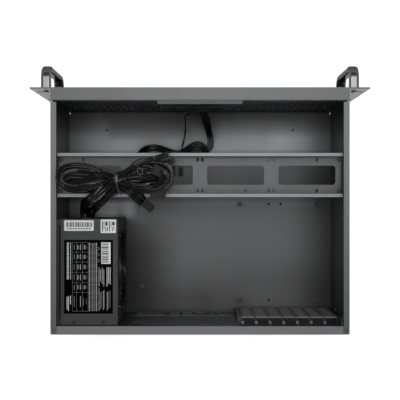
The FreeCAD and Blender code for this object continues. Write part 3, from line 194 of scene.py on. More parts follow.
# painted shade: in the chassis and beam paint the colour is darkened by ambient occlusion in corners and near walls
M = {
    "chassis_paint": material("chassis_paint", (0.108, 0.109, 0.112), light_pools=FLOOR_LIGHT_POOLS, top_tone_above=0.1755, bare=1.06, occlusion_shade=(0.09, 0.36), rough=0.38, metal=0.7, spec=0.4, bump=0.35, bscale=1300, var=0.02, vscale=4, wear=0.25, wear_col=(0.3, 0.3, 0.31), round_edge=0.0004, fine=0.12, rvar=0.008),
    "beam_paint": material("beam_paint", (0.078, 0.079, 0.081), occlusion_shade=(0.03, 0.5), rough=0.38, metal=0.7, spec=0.4, bump=0.35, bscale=1300, var=0.02, vscale=4, wear=0.35, wear_col=(0.34, 0.34, 0.35), round_edge=0.0004, fine=0.10, rvar=0.008, top_tone_above=0.1702, bare=2.2),
    "slot_cover_steel": material("slot_cover_steel", (0.2, 0.201, 0.205), rough=0.42, metal=0.25, spec=0.2, bump=0.3, bscale=900, stretch=(1, 1, 0.12), wear=0.2, round_edge=0.0003, tab=(0.1768, 0.117)),
    "shield_steel": material("shield_steel", (0.085, 0.085, 0.087), rough=0.36, metal=0.85, bump=0.25, bscale=700, stretch=(0.1, 1, 1), wear=0.3, round_edge=0.0002, var=0.1),
    # painted highlight: the handle's top face is painted 2.5 times lighter
    "handle_enamel": material("handle_enamel", (0.075, 0.075, 0.077), rough=0.2, metal=0.85, spec=0.2, tint=0.3, top_tone_above=0.1506, top_tone_soft=0.0016, bare=2.5, bump=0.2, bscale=420, bdist=0.0003, var=0.1, round_edge=0.0006),
    "screw_steel": material("screw_steel", (0.15, 0.15, 0.155), rough=0.34, metal=0.9, bump=0.25, bscale=1800, wear=0.5, wear_col=(0.45, 0.45, 0.45), round_edge=0.0002),
    "standoff_steel": material("standoff_steel", (0.05, 0.05, 0.052), rough=0.36, metal=0.85, bump=0.2, bscale=2200, wear=0.4, round_edge=0.0002),
    "socket_steel": material("socket_steel", (0.62, 0.62, 0.63), rough=0.26, metal=1.0, bump=0.2, bscale=900, stretch=(1, 0.08, 1), wear=0.3, wear_col=(0.9, 0.9, 0.9), round_edge=0.0002),
    "board_laminate": material("board_laminate", (0.004, 0.012, 0.007), rough=0.4, coat=0.2, var=0.25, vscale=120, bump=0.3, bscale=600, fine=0.5, fine_scale=700),
    "black_plastic": material("black_plastic", (0.005, 0.005, 0.0055), rough=0.45, spec=0.22, bump=0.5, bscale=2600, var=0.15, wear=0.15, wear_col=(0.05, 0.05, 0.05), round_edge=0.00035),
    "button_plastic": material("button_plastic", (0.018, 0.018, 0.02), rough=0.28, coat=0.3, bump=0.15, bscale=1200, wear=0.2, wear_col=(0.12, 0.12, 0.12), round_edge=0.0004),
    "light_pipe": material("light_pipe", (0.62, 0.66, 0.7), rough=0.12, coat=0.5, bump=0.05, bscale=500, round_edge=0.0003),
    "psu_paint": material("psu_paint", (0.038, 0.038, 0.039), rough=0.46, spec=0.45, bump=0.8, bscale=1100, bdist=0.0002, var=0.06, wear=0.3, wear_col=(0.16, 0.16, 0.17), round_edge=0.0005, fine=0.2, fine_scale=1500),
    "guard_wire": material("guard_wire", (0.06, 0.06, 0.065), rough=0.3, metal=1.0, bump=0.1, bscale=900, wear=0.3),
    "grommet_rubber": material("grommet_rubber", (0.012, 0.012, 0.012), rough=0.6, bump=0.3, bscale=900, var=0.2, round_edge=0.0006),
    "board_parts": material("board_parts", (0.5, 0.5, 0.52), rough=0.34, metal=0.8, bump=0.3, bscale=900, stretch=(1, 1, 0.1), var=0.2, round_edge=0.0003),
    "label_film": material("label_film", (0.0008, 0.0008, 0.0009), rough=0.7, spec=0.03, bump=0.12, bscale=220, var=0.2, vscale=40),
    "sticker_film": material("sticker_film", (0.88, 0.89, 0.90), rough=0.42, coat=0.15, bump=0.2, bscale=180, var=0.04, vscale=60),
    "lead_jacket": material("lead_jacket", (0.0035, 0.0035, 0.004), rough=0.34, spec=0.2, bump=0.25, bscale=500, var=0.25, vscale=70),
    "tie_plastic": material("tie_plastic", (0.012, 0.012, 0.013), rough=0.3, coat=0.3, bump=0.3, bscale=1300, wear=0.3, wear_col=(0.1, 0.1, 0.1)),
}
INK_LIGHT = material("ink_light", (0.72, 0.73, 0.74), rough=0.5, var=0.1, vscale=300, bump=0.05)
INK_GREY = material("ink_grey", (0.26, 0.26, 0.265), rough=0.5, var=0.15, vscale=300, bump=0.05)
INK_DARK = material("ink_dark", (0.012, 0.012, 0.013), rough=0.5, var=0.15, vscale=300, bump=0.05)
WIRE_GLOSS = material("wire_gloss", (0.004, 0.004, 0.0045), rough=0.2, rvar=0.16, spec=0.7, coat=0.3, coat_rough=0.08, var=0.1, vscale=9, bump=0.2, bscale=400)
# painted highlight: short stretches of wire jacket get this lighter grey, standing in for reflections on the leads
WIRE_PAINTED_HIGHLIGHT = material("wire_painted_highlight", (0.11, 0.11, 0.114), rough=0.24, rvar=0.1, spec=0.8, coat=0.6, coat_rough=0.08, var=0.3, vscale=60, bump=0.2, bscale=400)
WIRE_GREY = material("wire_grey", (0.33, 0.33, 0.34), rough=0.35, coat=0.2, var=0.1, vscale=80, bump=0.2, bscale=500)
LOOP_GREY = material("loop_grey", (0.11, 0.11, 0.115), rough=0.35, coat=0.2, var=0.1, vscale=80, bump=0.2, bscale=500)
PIN_METAL = material("pin_metal", (0.72, 0.66, 0.5), rough=0.25, metal=1.0, var=0.05, bump=0.05)

for s in frame["record"]["subparts"]:
    o = NODE[s["node"]]
    o.data.materials.clear()
    o.data.materials.append(M[s["material_slot"]])


# painted shade: the front I/O bracket gets a darker copy of the chassis paint, standing in for the shade on its top tab
SHADED_BRACKET = material("bracket_shaded_paint", (0.06, 0.061, 0.063), rough=0.42, metal=0.7, spec=0.4, bump=0.35, bscale=1300, var=0.02, vscale=4, wear=0.2, wear_col=(0.2, 0.2, 0.21), round_edge=0.0004, fine=0.12, rvar=0.008)
DARK_SCREW = material("dark_screw", (0.02, 0.02, 0.021), rough=0.4, metal=0.3, bump=0.2, bscale=1800, wear=0.3, wear_col=(0.16, 0.16, 0.17), round_edge=0.0002)
# front and rear paint: copies of the chassis paint with painted shade on the front panel's top faces and painted light
# on the rear panel's top faces
FRONT = material("front_paint", (0.108, 0.109, 0.112), top_tone_above=0.1755, bare=0.86, occlusion_shade=(0.09, 0.36), rough=0.38, metal=0.7, spec=0.4, bump=0.35, bscale=1300, var=0.02, vscale=4, wear=0.25, wear_col=(0.3, 0.3, 0.31), round_edge=0.0004, fine=0.12, rvar=0.008)
REAR = material("rear_paint", (0.1, 0.101, 0.103), top_tone_above=0.1745, bare=1.85, occlusion_shade=(0.09, 0.36), rough=0.38, metal=0.7, spec=0.4, bump=0.35, bscale=1300, var=0.02, vscale=4, wear=0.25, wear_col=(0.3, 0.3, 0.31), round_edge=0.0004, fine=0.12, rvar=0.008)
for name, m in (("io_bracket", SHADED_BRACKET), ("psu_screws", DARK_SCREW), ("beam_screws", DARK_SCREW), ("rear_panel", REAR), ("front_panel", FRONT)):
    if name in NODE:
        NODE[name].data.materials[0] = m


# ------------------------------------------------------------------ helpers
def add(name, verts, faces, mat, body="chassis", smooth=True, mats=None, ids=None):
    me = bpy.data.meshes.new(name)
    me.from_pydata(verts, [], faces)
    me.validate()
    ob = bpy.data.objects.new(name, me)
    for k in (mats or [mat]):
        me.materials.append(k)
    if ids:
        me.polygons.foreach_set("material_index", ids)
    if smooth:
        me.polygons.foreach_set("use_smooth", [True] * len(me.polygons))
    bpy.context.scene.collection.objects.link(ob)
    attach(ob, body)
    return ob


def route(name, pts, res=6):
    """The points of a smooth NURBS line with these control points, which are in mm."""
    cu = bpy.data.curves.new(name + "_line", "CURVE")
    cu.dimensions = "3D"
    sp = cu.splines.new("NURBS")
    sp.points.add(len(pts) - 1)
    for p, q in zip(sp.points, pts):
        p.co = (q[0] * MM, q[1] * MM, q[2] * MM, 1.0)
    sp.order_u = 3
    sp.use_endpoint_u = True
    cu.resolution_u = res
    ob = bpy.data.objects.new(name + "_line", cu)
    bpy.context.scene.collection.objects.link(ob)
    me = bpy.data.meshes.new_from_object(ob)
    out = [v.co.copy() for v in me.vertices]
    bpy.data.objects.remove(ob)
    bpy.data.meshes.remove(me)
    return out


def length(pts):
    return sum((b - a).length for a, b in zip(pts, pts[1:]))


def tangents(pts):
    t = []
    for i in range(len(pts)):
        a, b = pts[max(0, i - 1)], pts[min(len(pts) - 1, i + 1)]
        t.append((b - a).normalized())
    return t


def strands(pts, offsets, radius, sides=8, up=None, cap=True, level=0.0):
    """Vertices and faces of wires that follow pts. offsets(s, i) gives each wire's place across the line at distance s."""
    tg = tangents(pts)
    s, dist = 0.0, [0.0]
    for a, b in zip(pts, pts[1:]):
        s += (b - a).length
        dist.append(s)
    fr = []
    u = (up or Vector((0, 0, 1)))
    u = (u - tg[0] * u.dot(tg[0])).normalized()
    for k, t in enumerate(tg):
        if k:
            u = u - t * u.dot(t)
            u.normalize()
            if level and abs(t.z) < 0.8:
                want = Vector((0, 0, 1)) - t * t.z
                u = (u * (1 - level) + want.normalized() * level)
                u = (u - t * u.dot(t)).normalized()
        fr.append((u.copy(), t.cross(u)))
    n = len(offsets(0.0, s))
    lines = []
    for i in range(n):
        lines.append([])
    for k, p in enumerate(pts):
        o = offsets(dist[k], s)
        a, b = fr[k]
        for i in range(n):
            lines[i].append(p + a * o[i][1] + b * o[i][0])
    verts, faces = [], []
    for line in lines:
        tl = tangents(line)
        base = len(verts)
        u = Vector((0.13, 0.07, 1.0))
        u = (u - tl[0] * u.dot(tl[0])).normalized()
        for p, t in zip(line, tl):
            u = (u - t * u.dot(t)).normalized()
            w = t.cross(u)
            for q in range(sides):
                a = 2 * math.pi * q / sides
                verts.append(p + u * (radius * math.cos(a)) + w * (radius * math.sin(a)))
        m = len(line)
        for k in range(m - 1):
            for q in range(sides):
                r = (q + 1) % sides
                faces.append((base + k * sides + q, base + k * sides + r, base + (k + 1) * sides + r, base + (k + 1) * sides + q))
        if cap:
            faces.append(tuple(base + q for q in reversed(range(sides))))
            faces.append(tuple(base + (m - 1) * sides + q for q in range(sides)))
    return verts, faces


def bundle(n, spread, r, seed, loose=0.28):
    """Offsets of n wires in a round bundle that loosens and tightens along its length."""
    rad = [spread * math.sqrt((i + 0.5) / n) for i in range(n)]
    ang = [i * 2.39996 + seed for i in range(n)]

    def at(s, total):
        out = []
        for i in range(n):
            k = 1.0 + loose * math.sin(s / 0.034 + seed * 1.7 + i * 0.9) * 0.55 + loose * 0.45
            e = min(s, total - s) / 0.02
            k *= 0.72 + 0.28 * min(1.0, e)
            a = ang[i] + 5.0 * s / 0.16 * 0.35 + 0.45 * math.sin(s / 0.047 + i * 2.1 + seed)
            out.append((rad[i] * k * math.cos(a), rad[i] * k * math.sin(a)))
        return out
    return at


# ------------------------------------------------------------------ leads of the power supply: diameter and route in mm
ROUTES = {
    "lead_mainboard": (6.8, [(158.4, 37.0, 128.1), (158.4, 29.5, 128.4), (157.6, 18.0, 130.6), (154.4, 12.2, 142.6), (149.6, 10.6, 157.6), (143.8, 8.0, 172.4), (137.0, 2.6, 182.2), (129.6, -4.9, 183.6), (123.0, -11.7, 180.6), (116.6, -18.2, 176.6), (106.6, -19.2, 172.3), (92.0, -14.6, 172.0), (74.9, -12.6, 171.0), (59.8, -13.2, 171.1), (46.8, -17.0, 170.7), (40.3, -30.6, 171.9), (47.7, -43.7, 172.5), (59.9, -48.4, 171.6), (77.1, -49.4, 171.3), (93.8, -39.8, 172.0), (107.3, -29.0, 172.2), (117.6, -27, 169), (128.0, -34.6, 170.4), (142.4, -37.8, 170.7), (158.2, -41.4, 170.3), (177.0, -42.8, 170.2), (191.8, -39.5, 171.3), (198.7, -29.2, 171.0), (191.2, -17.7, 170.4), (175.5, -13.0, 170.0), (158.4, -12.8, 171.0), (143.9, -17.2, 170.9), (130.2, -23.0, 170.8), (117.8, -31, 173), (106, -33.5, 172.5), (97.5, -42, 170.6), (89, -50, 169), (81, -53.4, 168.8), (75, -51.6, 168.8), (74, -46.2, 168.8)]),
    "lead_cpu": (5.0, [(172.4, 37.0, 128.1), (172.4, 29.5, 128.4), (172.3, 17.0, 130.6), (170.6, 9.1, 142.6), (167.0, 5.5, 157.6), (161.3, 1.9, 172.4), (151.6, -5.2, 182.2), (141.2, -14.0, 183.6), (132.6, -21.8, 180.6), (126.4, -28.2, 176.6), (107.8, -19.6, 175.6), (93.4, -18.2, 180.3), (76.4, -14.7, 179.8), (63.5, -15.6, 179.7), (49.9, -19.7, 178.8), (44.1, -30.8, 179.8), (50.6, -40.6, 179.9), (65.9, -45.3, 179.7), (78.1, -43.5, 179.8), (93.9, -37.1, 179.8), (106.7, -27.8, 176.1), (117.6, -19, 166.8), (128.2, -29.8, 175.8), (141.4, -37.2, 179.0), (157.4, -45.5, 178.4), (179.5, -48.1, 179.0), (195.6, -43.7, 179.0), (202.0, -31.5, 178.9), (198.8, -21.0, 178.4), (185.8, -16.4, 178.1), (168.0, -17.2, 178.5), (151.0, -20.2, 178.7), (138.0, -20.0, 177.4), (128.0, -18.2, 175.2), (117.8, -20, 180.5), (110, -20.8, 181), (102, -18.6, 180), (96.6, -12.6, 182.6), (90.6, -6, 181.6), (85.6, -0.6, 176.4), (81.2, 4.9, 168.6)]),
    "lead_drives": (5.0, [(165.7, 37.0, 128.1), (165.7, 29.5, 128.4), (165.6, 17.0, 130.6), (163.9, 9.4, 142.6), (160.4, 6.6, 157.6), (154.9, 4.0, 172.4), (146.2, -1.2, 182.2), (136.6, -9.2, 183.6), (128.2, -16.8, 180.6), (121.7, -23.4, 176.6), (106.0, -21.4, 173.7), (93.9, -14.4, 176.7), (75.4, -11.5, 176.4), (67.1, -10.4, 177.0), (54.9, -15.4, 175.7), (48.0, -26.6, 176.3), (56.3, -37.5, 176.5), (70.1, -41.4, 176.4), (78.1, -42.1, 176.5), (94.1, -35.7, 177.1), (106.4, -31.5, 173.8), (117.6, -33, 167), (129.7, -31.3, 177.7), (141.6, -30.4, 180.7), (156.0, -28.8, 180.3), (168.8, -30.2, 179.7), (183.3, -31.4, 179.9), (192.2, -26.2, 179.8), (191.2, -17.4, 179.5), (181.8, -12.8, 179.9), (169.0, -12.4, 180.5), (157.7, -14.3, 180.1), (142.3, -17.9, 180.3), (131.0, -23.0, 177.4), (117.8, -26, 182.6), (106, -29, 180.6), (92, -31.4, 181.8), (78, -32.6, 182.4), (66.4, -31.4, 181.4), (59.4, -25.4, 178.8), (59, -16.2, 177.4)]),
    "lead_sata": (4.8, [(164.1, 37.0, 135.0), (164.1, 29.5, 135.3), (164.0, 17.8, 137.4), (162.3, 14.6, 147.2), (159.5, 13.4, 159.7), (155.1, 10.0, 176.2), (146.0, 2.2, 188.5), (135.8, -7.2, 190.4), (127.1, -15.6, 187.5), (120.6, -22.3, 183.5), (107.4, -20.4, 179.2), (93.4, -18.5, 182.4), (76.6, -18.1, 181.2), (73.7, -18.2, 181.8), (63.0, -18.4, 181.2), (54.0, -22.4, 181.0), (51.8, -29.0, 181.2), (54.6, -35.8, 182.0), (63.4, -39.4, 182.4), (74.7, -39.1, 182.1), (79.2, -37.9, 181.4), (93.1, -33.2, 181.4), (108.1, -26.0, 179.6), (117.6, -23, 172), (130.0, -31.7, 179.7), (142.8, -35.0, 183.2), (157.5, -37.7, 183.1), (170.9, -38.8, 182.6), (189.6, -36.1, 183.4), (195.3, -27.0, 182.9), (190.1, -19.1, 182.6), (171.6, -16.4, 182.9), (157.2, -16.7, 183.7), (142.2, -18.6, 183.4), (130.1, -23.7, 179.2), (117.8, -33, 179), (106, -35, 178.6), (94, -42.4, 179.4), (80, -50, 177.4), (68.5, -55.6, 172), (60.5, -58.2, 166.8), (56.2, -59.2, 168.2), (55.6, -59.5, 173.9)]),
    "lead_sata_two": (4.8, [(168.7, 37.0, 133.8), (168.7, 28.0, 134.1), (168.6, 16.3, 136.2), (166.9, 11.6, 143.0), (164.1, 10.4, 155.5), (159.7, 7.0, 172.0), (150.6, -0.8, 184.3), (140.4, -10.2, 186.2), (131.7, -18.6, 183.3), (125.2, -25.3, 179.3), (107.1, -16.4, 178.7), (93.1, -14.0, 183.4), (76.7, -11.6, 183.1), (57.2, -10.7, 182.9), (43.9, -17.3, 182.6), (38.1, -32.4, 183.0), (44.0, -46.0, 183.7), (58.5, -52.2, 183.1), (78.1, -51.9, 183.3), (92.1, -41.7, 183.3), (106.0, -28.6, 178.7), (117.6, -15.6, 171), (129.4, -22.3, 174.3), (141.2, -26.1, 175.1), (157.1, -29.2, 175.0), (166.3, -31.0, 174.6), (178.8, -31.2, 175.0), (188.8, -27.0, 174.8), (190.0, -20.6, 174.2), (184.4, -14.2, 174.0), (175.8, -12.0, 174.2), (164.5, -12.6, 174.6), (157.9, -13.3, 174.7), (143.3, -13.9, 174.3), (131.2, -15.6, 174.4), (117.8, -21, 175.6), (107, -24.8, 176.6), (93, -26.6, 178.6), (79, -27.0, 180.2), (67.4, -28.6, 180.6), (58.8, -34.0, 178.6), (54.4, -42.4, 173.8), (51.4, -49.0, 167.6), (48.4, -51.5, 166.4), (47.6, -51.5, 170.5)]),
    "lead_card": (5.2, [(158.6, 37.0, 134.7), (158.6, 29.5, 135.0), (156.4, 20.6, 137.4), (151.6, 17.6, 148.2), (146.8, 14.4, 163.0), (141.0, 9.9, 177.8), (134.6, 3.9, 187.6), (127.6, -3.4, 189.0), (121.2, -10.0, 186.0), (115.4, -15.8, 182.0), (106.1, -15.5, 172.9), (93.7, -19.4, 167.1), (77.0, -21.6, 167.2), (61.0, -21.8, 167.3), (48.6, -24.4, 166.4), (42.4, -32.8, 166.8), (47.0, -42.4, 167.5), (60.2, -48.2, 167.6), (77.0, -46.5, 166.9), (92.6, -35.6, 167.7), (106.4, -23.8, 173.4), (117.6, -15.4, 177.6), (128.4, -32.5, 173.1), (140.9, -38.2, 167.1), (157.5, -42.6, 166.7), (178.4, -46.4, 166.7), (192.5, -41.9, 166.8), (200.8, -29.1, 166.6), (194.1, -15.4, 166.1), (179.2, -11.0, 166.9), (158.8, -11.4, 167.3), (143.5, -13.4, 166.9), (130.8, -19.2, 173.5), (117.8, -34, 182), (107, -36.6, 182), (97, -42.2, 182), (85.4, -45.4, 181.6), (74, -45, 181.2), (66, -41.8, 181)]),
}

WIRES = {  # name: wires, spread mm, wire radius mm, seed, what it ends in
    "lead_mainboard": (24, 4.1, 0.86, 0.3, "connector_mainboard"),
    "lead_cpu": (8, 2.8, 0.92, 1.1, "connector_cpu"),
    "lead_drives": (9, 2.8, 0.88, 2.3, "connectors_drives"),
    "lead_sata": (10, 2.7, 0.84, 3.7, "connectors_drives"),
    "lead_sata_two": (10, 2.7, 0.84, 4.9, "connectors_drives"),
    "lead_card": (10, 3.0, 0.88, 5.8, None),
}


# ------------------------------------------------------------------ connector of the card lead
def connector(name, at, direction, up, w, h, l, nx, nz):
    d = Vector(direction).normalized()
    u = Vector(up); u = (u - d * u.dot(d)).normalized()
    a = d.cross(u)
    bm = bmesh.new()
    bmesh.ops.create_cube(bm, size=1.0)
    for v in bm.verts:
        v.co = Vector((v.co.x * w, (v.co.y + 0.5) * l, v.co.z * h))
    front = [f for f in bm.faces if f.normal.y > 0.9][0]
    ex = [e for e in bm.edges if abs((e.verts[0].co - e.verts[1].co).y) > 1 or e in front.edges]
    bmesh.ops.bevel(bm, geom=ex, offset=0.5, segments=2, affect="EDGES")
    # cavities, pins and a latch
    cells = []
    for i in range(nx):
        for j in range(nz):
            cx, cz = (i - (nx - 1) / 2) * (w - 1.6) / nx, (j - (nz - 1) / 2) * (h - 1.6) / nz
            cells.append((cx, cz, (w - 1.6) / nx * 0.36, (h - 1.6) / nz * 0.36))
    verts = [v.co.copy() for v in bm.verts]
    idx = {v: k for k, v in enumerate(bm.verts)}
    faces = [tuple(idx[v] for v in f.verts) for f in bm.faces]
    ids = [0] * len(faces)
    for cx, cz, rx, rz in cells:  # raised collar with a sunk floor
        b = len(verts)
        for y, k in ((l + 0.02, 1.25), (l + 0.5, 1.2), (l + 0.5, 0.95), (l - 0.0, 0.9)):
            for sx, sz in ((-1, -1), (1, -1), (1, 1), (-1, 1)):
                verts.append(Vector((cx + sx * rx * k, y, cz + sz * rz * k)))
        for ring in range(3):
            for q in range(4):
                r = (q + 1) % 4
                faces.append((b + ring * 4 + q, b + ring * 4 + r, b + ring * 4 + 4 + r, b + ring * 4 + 4 + q)); ids.append(0)
        faces.append((b + 12, b + 13, b + 14, b + 15)); ids.append(1)
    b = len(verts)
    prof = [(1.0, h / 2 - 0.2), (2.0, h / 2 + 1.5), (l - 3.5, h / 2 + 1.2), (l - 1.0, h / 2 + 1.9), (l - 0.4, h / 2 + 0.4), (l - 0.6, h / 2 - 0.2)]
    for sx in (-2.4, 2.4):
        for y, z in prof:
            verts.append(Vector((sx, y, z)))
    m = len(prof)
    for k in range(m - 1):
        faces.append((b + k, b + k + 1, b + m + k + 1, b + m + k)); ids.append(0)
    faces.append(tuple(b + k for k in range(m))); ids.append(0)
    faces.append(tuple(b + m + k for k in reversed(range(m)))); ids.append(0)
    verts = [(Vector(at) + a * v.x + d * v.y + u * v.z) * MM for v in verts]
    bm.free()
    return add(name, verts, faces, None, smooth=False, mats=[M["black_plastic"], PIN_METAL], ids=ids)


card_plug = connector("connector_card", (66.4, -41.9, 181.2), (-0.9, 0.42, 0.02), (0, 0, 1), 14.4, 9.6, 15.0, 3, 2)

def streak(wire, ring_no, seed):
    """Which jacket finish this stretch of this wire has: most is satin, some stretches are polished, a few short ones
    are painted lighter as a painted highlight.
    """
    if math.sin(ring_no * 0.17 + wire * 2.3 + seed * 5.0) > 0.86 and wire % 4 == 1:
        return 2
    if math.sin(ring_no * 0.12 + wire * 1.7 + seed * 3.0) > 0.1 and wire % 3 != 0:
        return 1
    return 0


for name, (dia, pts) in ROUTES.items():
    n, spread, r, seed, end = WIRES[name]
    line = route(name, pts)
    v, f = strands(line, bundle(n, spread * MM, r * MM, seed), r * MM, sides=8, level=0.12)
    per = len(f) // n
    ids = [streak(k // per, (k % per) // 8, seed) for k in range(len(f))]
    ob = add(name + "_wires", v, f, None, mats=[M["lead_jacket"], WIRE_GLOSS, WIRE_PAINTED_HIGHLIGHT], ids=ids)
    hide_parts("cable_hank")
    if name in ("lead_mainboard", "lead_cpu", "lead_drives", "lead_sata"):
        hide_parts(name)
    if name == "lead_cpu":
        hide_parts("lead_cpu_tail")
    print(name, "length", round(length(line), 3), "faces", len(f))

# the outer wires of the processor lead spread out flat between the tie and the connector
SPREAD = {
    "lead_cpu_side_one": (4.2, 0.7, [(117.0, -27.5, 182.0), (107.5, -25.4, 182.6), (100.4, -21.6, 182.4), (93.4, -16.2, 183.4), (87.0, -10.2, 182.0), (81.8, -4.6, 176.4), (78.0, 1.0, 168.6)]),
    "lead_cpu_side_two": (4.2, 2.9, [(118.5, -13.5, 178.5), (112.5, -14.2, 180.2), (105.8, -12.8, 181.4), (100.2, -8.0, 182.6), (94.4, -1.8, 181.4), (89.4, 3.6, 175.8), (84.4, 8.8, 168.4)]),
}
for name, (dia, seed, pts) in SPREAD.items():
    line = route(name, pts)
    v, f = strands(line, bundle(5, 2.3 * MM, 0.9 * MM, seed), 0.9 * MM, sides=8, level=0.12)
    per = len(f) // 5
    ob = add(name, v, f, None, mats=[M["lead_jacket"], WIRE_GLOSS], ids=[1 if k // per == 1 else 0 for k in range(len(f))])
    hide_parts("lead_cpu_tail")
    print(name, "length", round(length(line), 3))

# ------------------------------------------------------------------ twist tie round the hank
def band(name, centre, ry, rz, half_w, thick, power, mat, seg=72, normal_x=True):
    verts, faces = [], []
    prof = [(-half_w, 0.0), (-half_w * 0.85, thick * 0.55), (-half_w * 0.5, thick * 0.42), (0.0, thick), (half_w * 0.5, thick * 0.42), (half_w * 0.85, thick * 0.55), (half_w, 0.0), (0.0, -0.2)]
    for k in range(seg):
        a = 2 * math.pi * k / seg
        c, s = math.cos(a), math.sin(a)
        y = ry * math.copysign(abs(c) ** (2 / power), c)
        z = rz * math.copysign(abs(s) ** (2 / power), s)
        nrm = Vector((0, c, s))
        wob = 0.35 * math.sin(3 * a + 0.6)
        for w, t in prof:
            verts.append((Vector((centre[0] + w + wob, centre[1] + y, centre[2] + z)) + nrm * t) * MM)
    m = len(prof)
    for k in range(seg):
        for q in range(m):
            r = (q + 1) % m
            faces.append((k * m + q, ((k + 1) % seg) * m + q, ((k + 1) % seg) * m + r, k * m + r))
    return add(name, verts, faces, mat)


tie = band("twist_tie", (118.0, -24.6, 174.6), 12.6, 10.4, 2.3, 0.9, 3.0, M["tie_plastic"])
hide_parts("cable_tie")
tw_line = route("tie_twist", [(118, -21, 185.2), (117, -17, 187.6), (115.5, -13, 188.2), (113, -9, 187.0), (110.6, -6.2, 184.6)])


def twisted(s, total):
    a = s / 0.0052 * math.pi
    return [(0.00095 * math.cos(a), 0.00095 * math.sin(a)), (-0.00095 * math.cos(a), -0.00095 * math.sin(a))]


v, f = strands(tw_line, twisted, 0.00095, sides=7)
tw = add("twist_tie_ends", v, f, M["tie_plastic"])
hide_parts("cable_tie")

# loose loop of a tie lying on the leads
ring = []
for k in range(41):
    a = 2 * math.pi * k / 40 * 0.985 + 0.5
    ring.append(Vector((84.2 + 3.4 * math.cos(a) - 1.1 * math.sin(a), -37.6 + 4.7 * math.sin(a), 186.6 + 0.9 * math.cos(a + 0.6) + 0.5 * math.sin(2 * a))) * MM)
v, f = strands(ring, lambda s_, t_: [(0.0, 0.0)], 0.00052, sides=8)
add("tie_loop", v, f, LOOP_GREY)

# ------------------------------------------------------------------ front leads
RIBBON = [(-5.0, -129.3, 95.0), (-5.3, -126.8, 90.0), (-7.3, -125.4, 74.0), (-9.6, -120.6, 50.0), (-12.0, -114.6, 26.0), (-13.9, -108.4, 9.0), (-15.8, -101.0, 4.2), (-17.4, -92.4, 3.8), (-17.0, -84.0, 3.8),
          (-11.0, -77.4, 3.8), (-1.0, -75.2, 3.8), (9.0, -74.8, 3.8), (19.0, -74.0, 3.8), (30.0, -72.8, 3.9), (41.0, -72.6, 4.2), (51.0, -75.8, 6.0), (62.0, -79.6, 11.0), (73.0, -82.0, 15.0), (84.0, -80.6, 14.2), (94.0, -75.0, 9.0),
          (99.0, -67.0, 4.0), (95.0, -60.0, 3.6), (84.0, -58.0, 6.2), (68.0, -58.5, 8.0), (50.0, -58.5, 8.4), (32.0, -58.5, 8.0), (14.0, -60.5, 8.0), (2.0, -62.4, 9.0), (-7.6, -67.6, 11.0), (-9.6, -77.0, 13.4), (-3.6, -85.4, 15.0), (6.0, -87.2, 15.4), (15.0, -82.6, 14.0),
          (24.0, -75.6, 10.4), (35.0, -70.2, 8.2), (48.0, -67.6, 7.6), (62.0, -66.0, 5.4), (74.0, -63.0, 11.6), (81.0, -57.6, 11.4), (80.6, -52.6, 6.4), (80.2, -49.0, 4.8)]
line = route("front_usb", RIBBON)


def flat(s, total):
    n, pitch = 10, 0.00128 - 0.00036 * min(1.0, max(0.0, (s - 0.05) / 0.03))
    e = min(1.0, s / 0.012)
    return [((i - (n - 1) / 2) * pitch, 0.0004 * math.sin(s / 0.019 + i * 0.5) * e) for i in range(n)]


def ribbon(pts, offsets, radius, sides=7):
    """As strands, with the width kept level across the case."""
    tg = tangents(pts)
    s, dist = 0.0, [0.0]
    for a, b in zip(pts, pts[1:]):
        s += (b - a).length
        dist.append(s)
    wide = Vector((-1, 0, 0))
    lines = [[] for _ in offsets(0.0, s)]
    for k, p in enumerate(pts):
        t = tg[k]
        if k:
            prev = wide
            wide = wide - t * wide.dot(t)
            wide.normalize()
            want = t.cross(Vector((0, 0, 1))) if abs(t.z) < 0.75 else None
            if want is not None and want.length > 0.2:
                want.normalize()
                if want.dot(wide) < 0:
                    want = -want
                wide = (wide * 0.88 + want * 0.12).normalized()
        else:
            wide = (wide - t * wide.dot(t)).normalized()
        nrm = wide.cross(t)
        for i, (a, b) in enumerate(offsets(dist[k], s)):
            lines[i].append(p + wide * a + nrm * b)
    verts, faces = [], []
    for ln in lines:
        vv, ff = strands(ln, lambda s_, t_: [(0.0, 0.0)], radius, sides)
        base = len(verts)
        verts += vv
        faces += [tuple(base + q for q in fc) for fc in ff]
    return verts, faces


v, f = ribbon(line, flat, 0.00068)
per = len(f) // 10
usb = add("front_usb_wires", v, f, None, mats=[M["lead_jacket"], WIRE_GLOSS], ids=[1 if (k // per) % 3 == 1 else 0 for k in range(len(f))])
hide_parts("front_usb_lead", "front_hank")
print("front_usb", round(length(line), 3))

SWITCH = [(14.5, -130.1, 80.5), (17.0, -127.6, 81.0), (21.0, -127.0, 78.0), (22.8, -125.8, 66.0), (23.0, -120.0, 40.0), (23.2, -111.6, 14.0), (23.8, -104.6, 4.8), (25.2, -97.0, 3.4), (27.2, -89.0, 4.6),
          (28.6, -83.0, 10.0), (29.4, -76.0, 16.6), (31.0, -68.0, 15.0), (34.0, -60.6, 8.0), (39.6, -56.4, 3.8), (48.0, -55.6, 3.2), (58.0, -58.6, 3.2), (63.0, -65.0, 3.2), (58.0, -71.6, 3.2), (46.0, -72.6, 3.2), (33.0, -69.0, 3.2), (20.0, -63.0, 3.2), (9.0, -60.0, 3.2),
          (2.0, -55.0, 3.2), (6.0, -50.6, 3.2), (18.0, -53.4, 3.2), (30.0, -56.6, 3.2), (40.0, -55.0, 3.2), (43.0, -49.2, 3.0)]
line = route("front_switch", SWITCH)
v, f = strands(line, lambda s, t: [(0.00062 * math.cos(s / 0.006), 0.00062 * math.sin(s / 0.006)), (-0.00062 * math.cos(s / 0.006), -0.00062 * math.sin(s / 0.006))], 0.00062, sides=7)
sw = add("front_switch_wires", v, f, M["lead_jacket"])
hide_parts("front_switch_lead", "front_hank")
print("front_switch", round(length(line), 3))


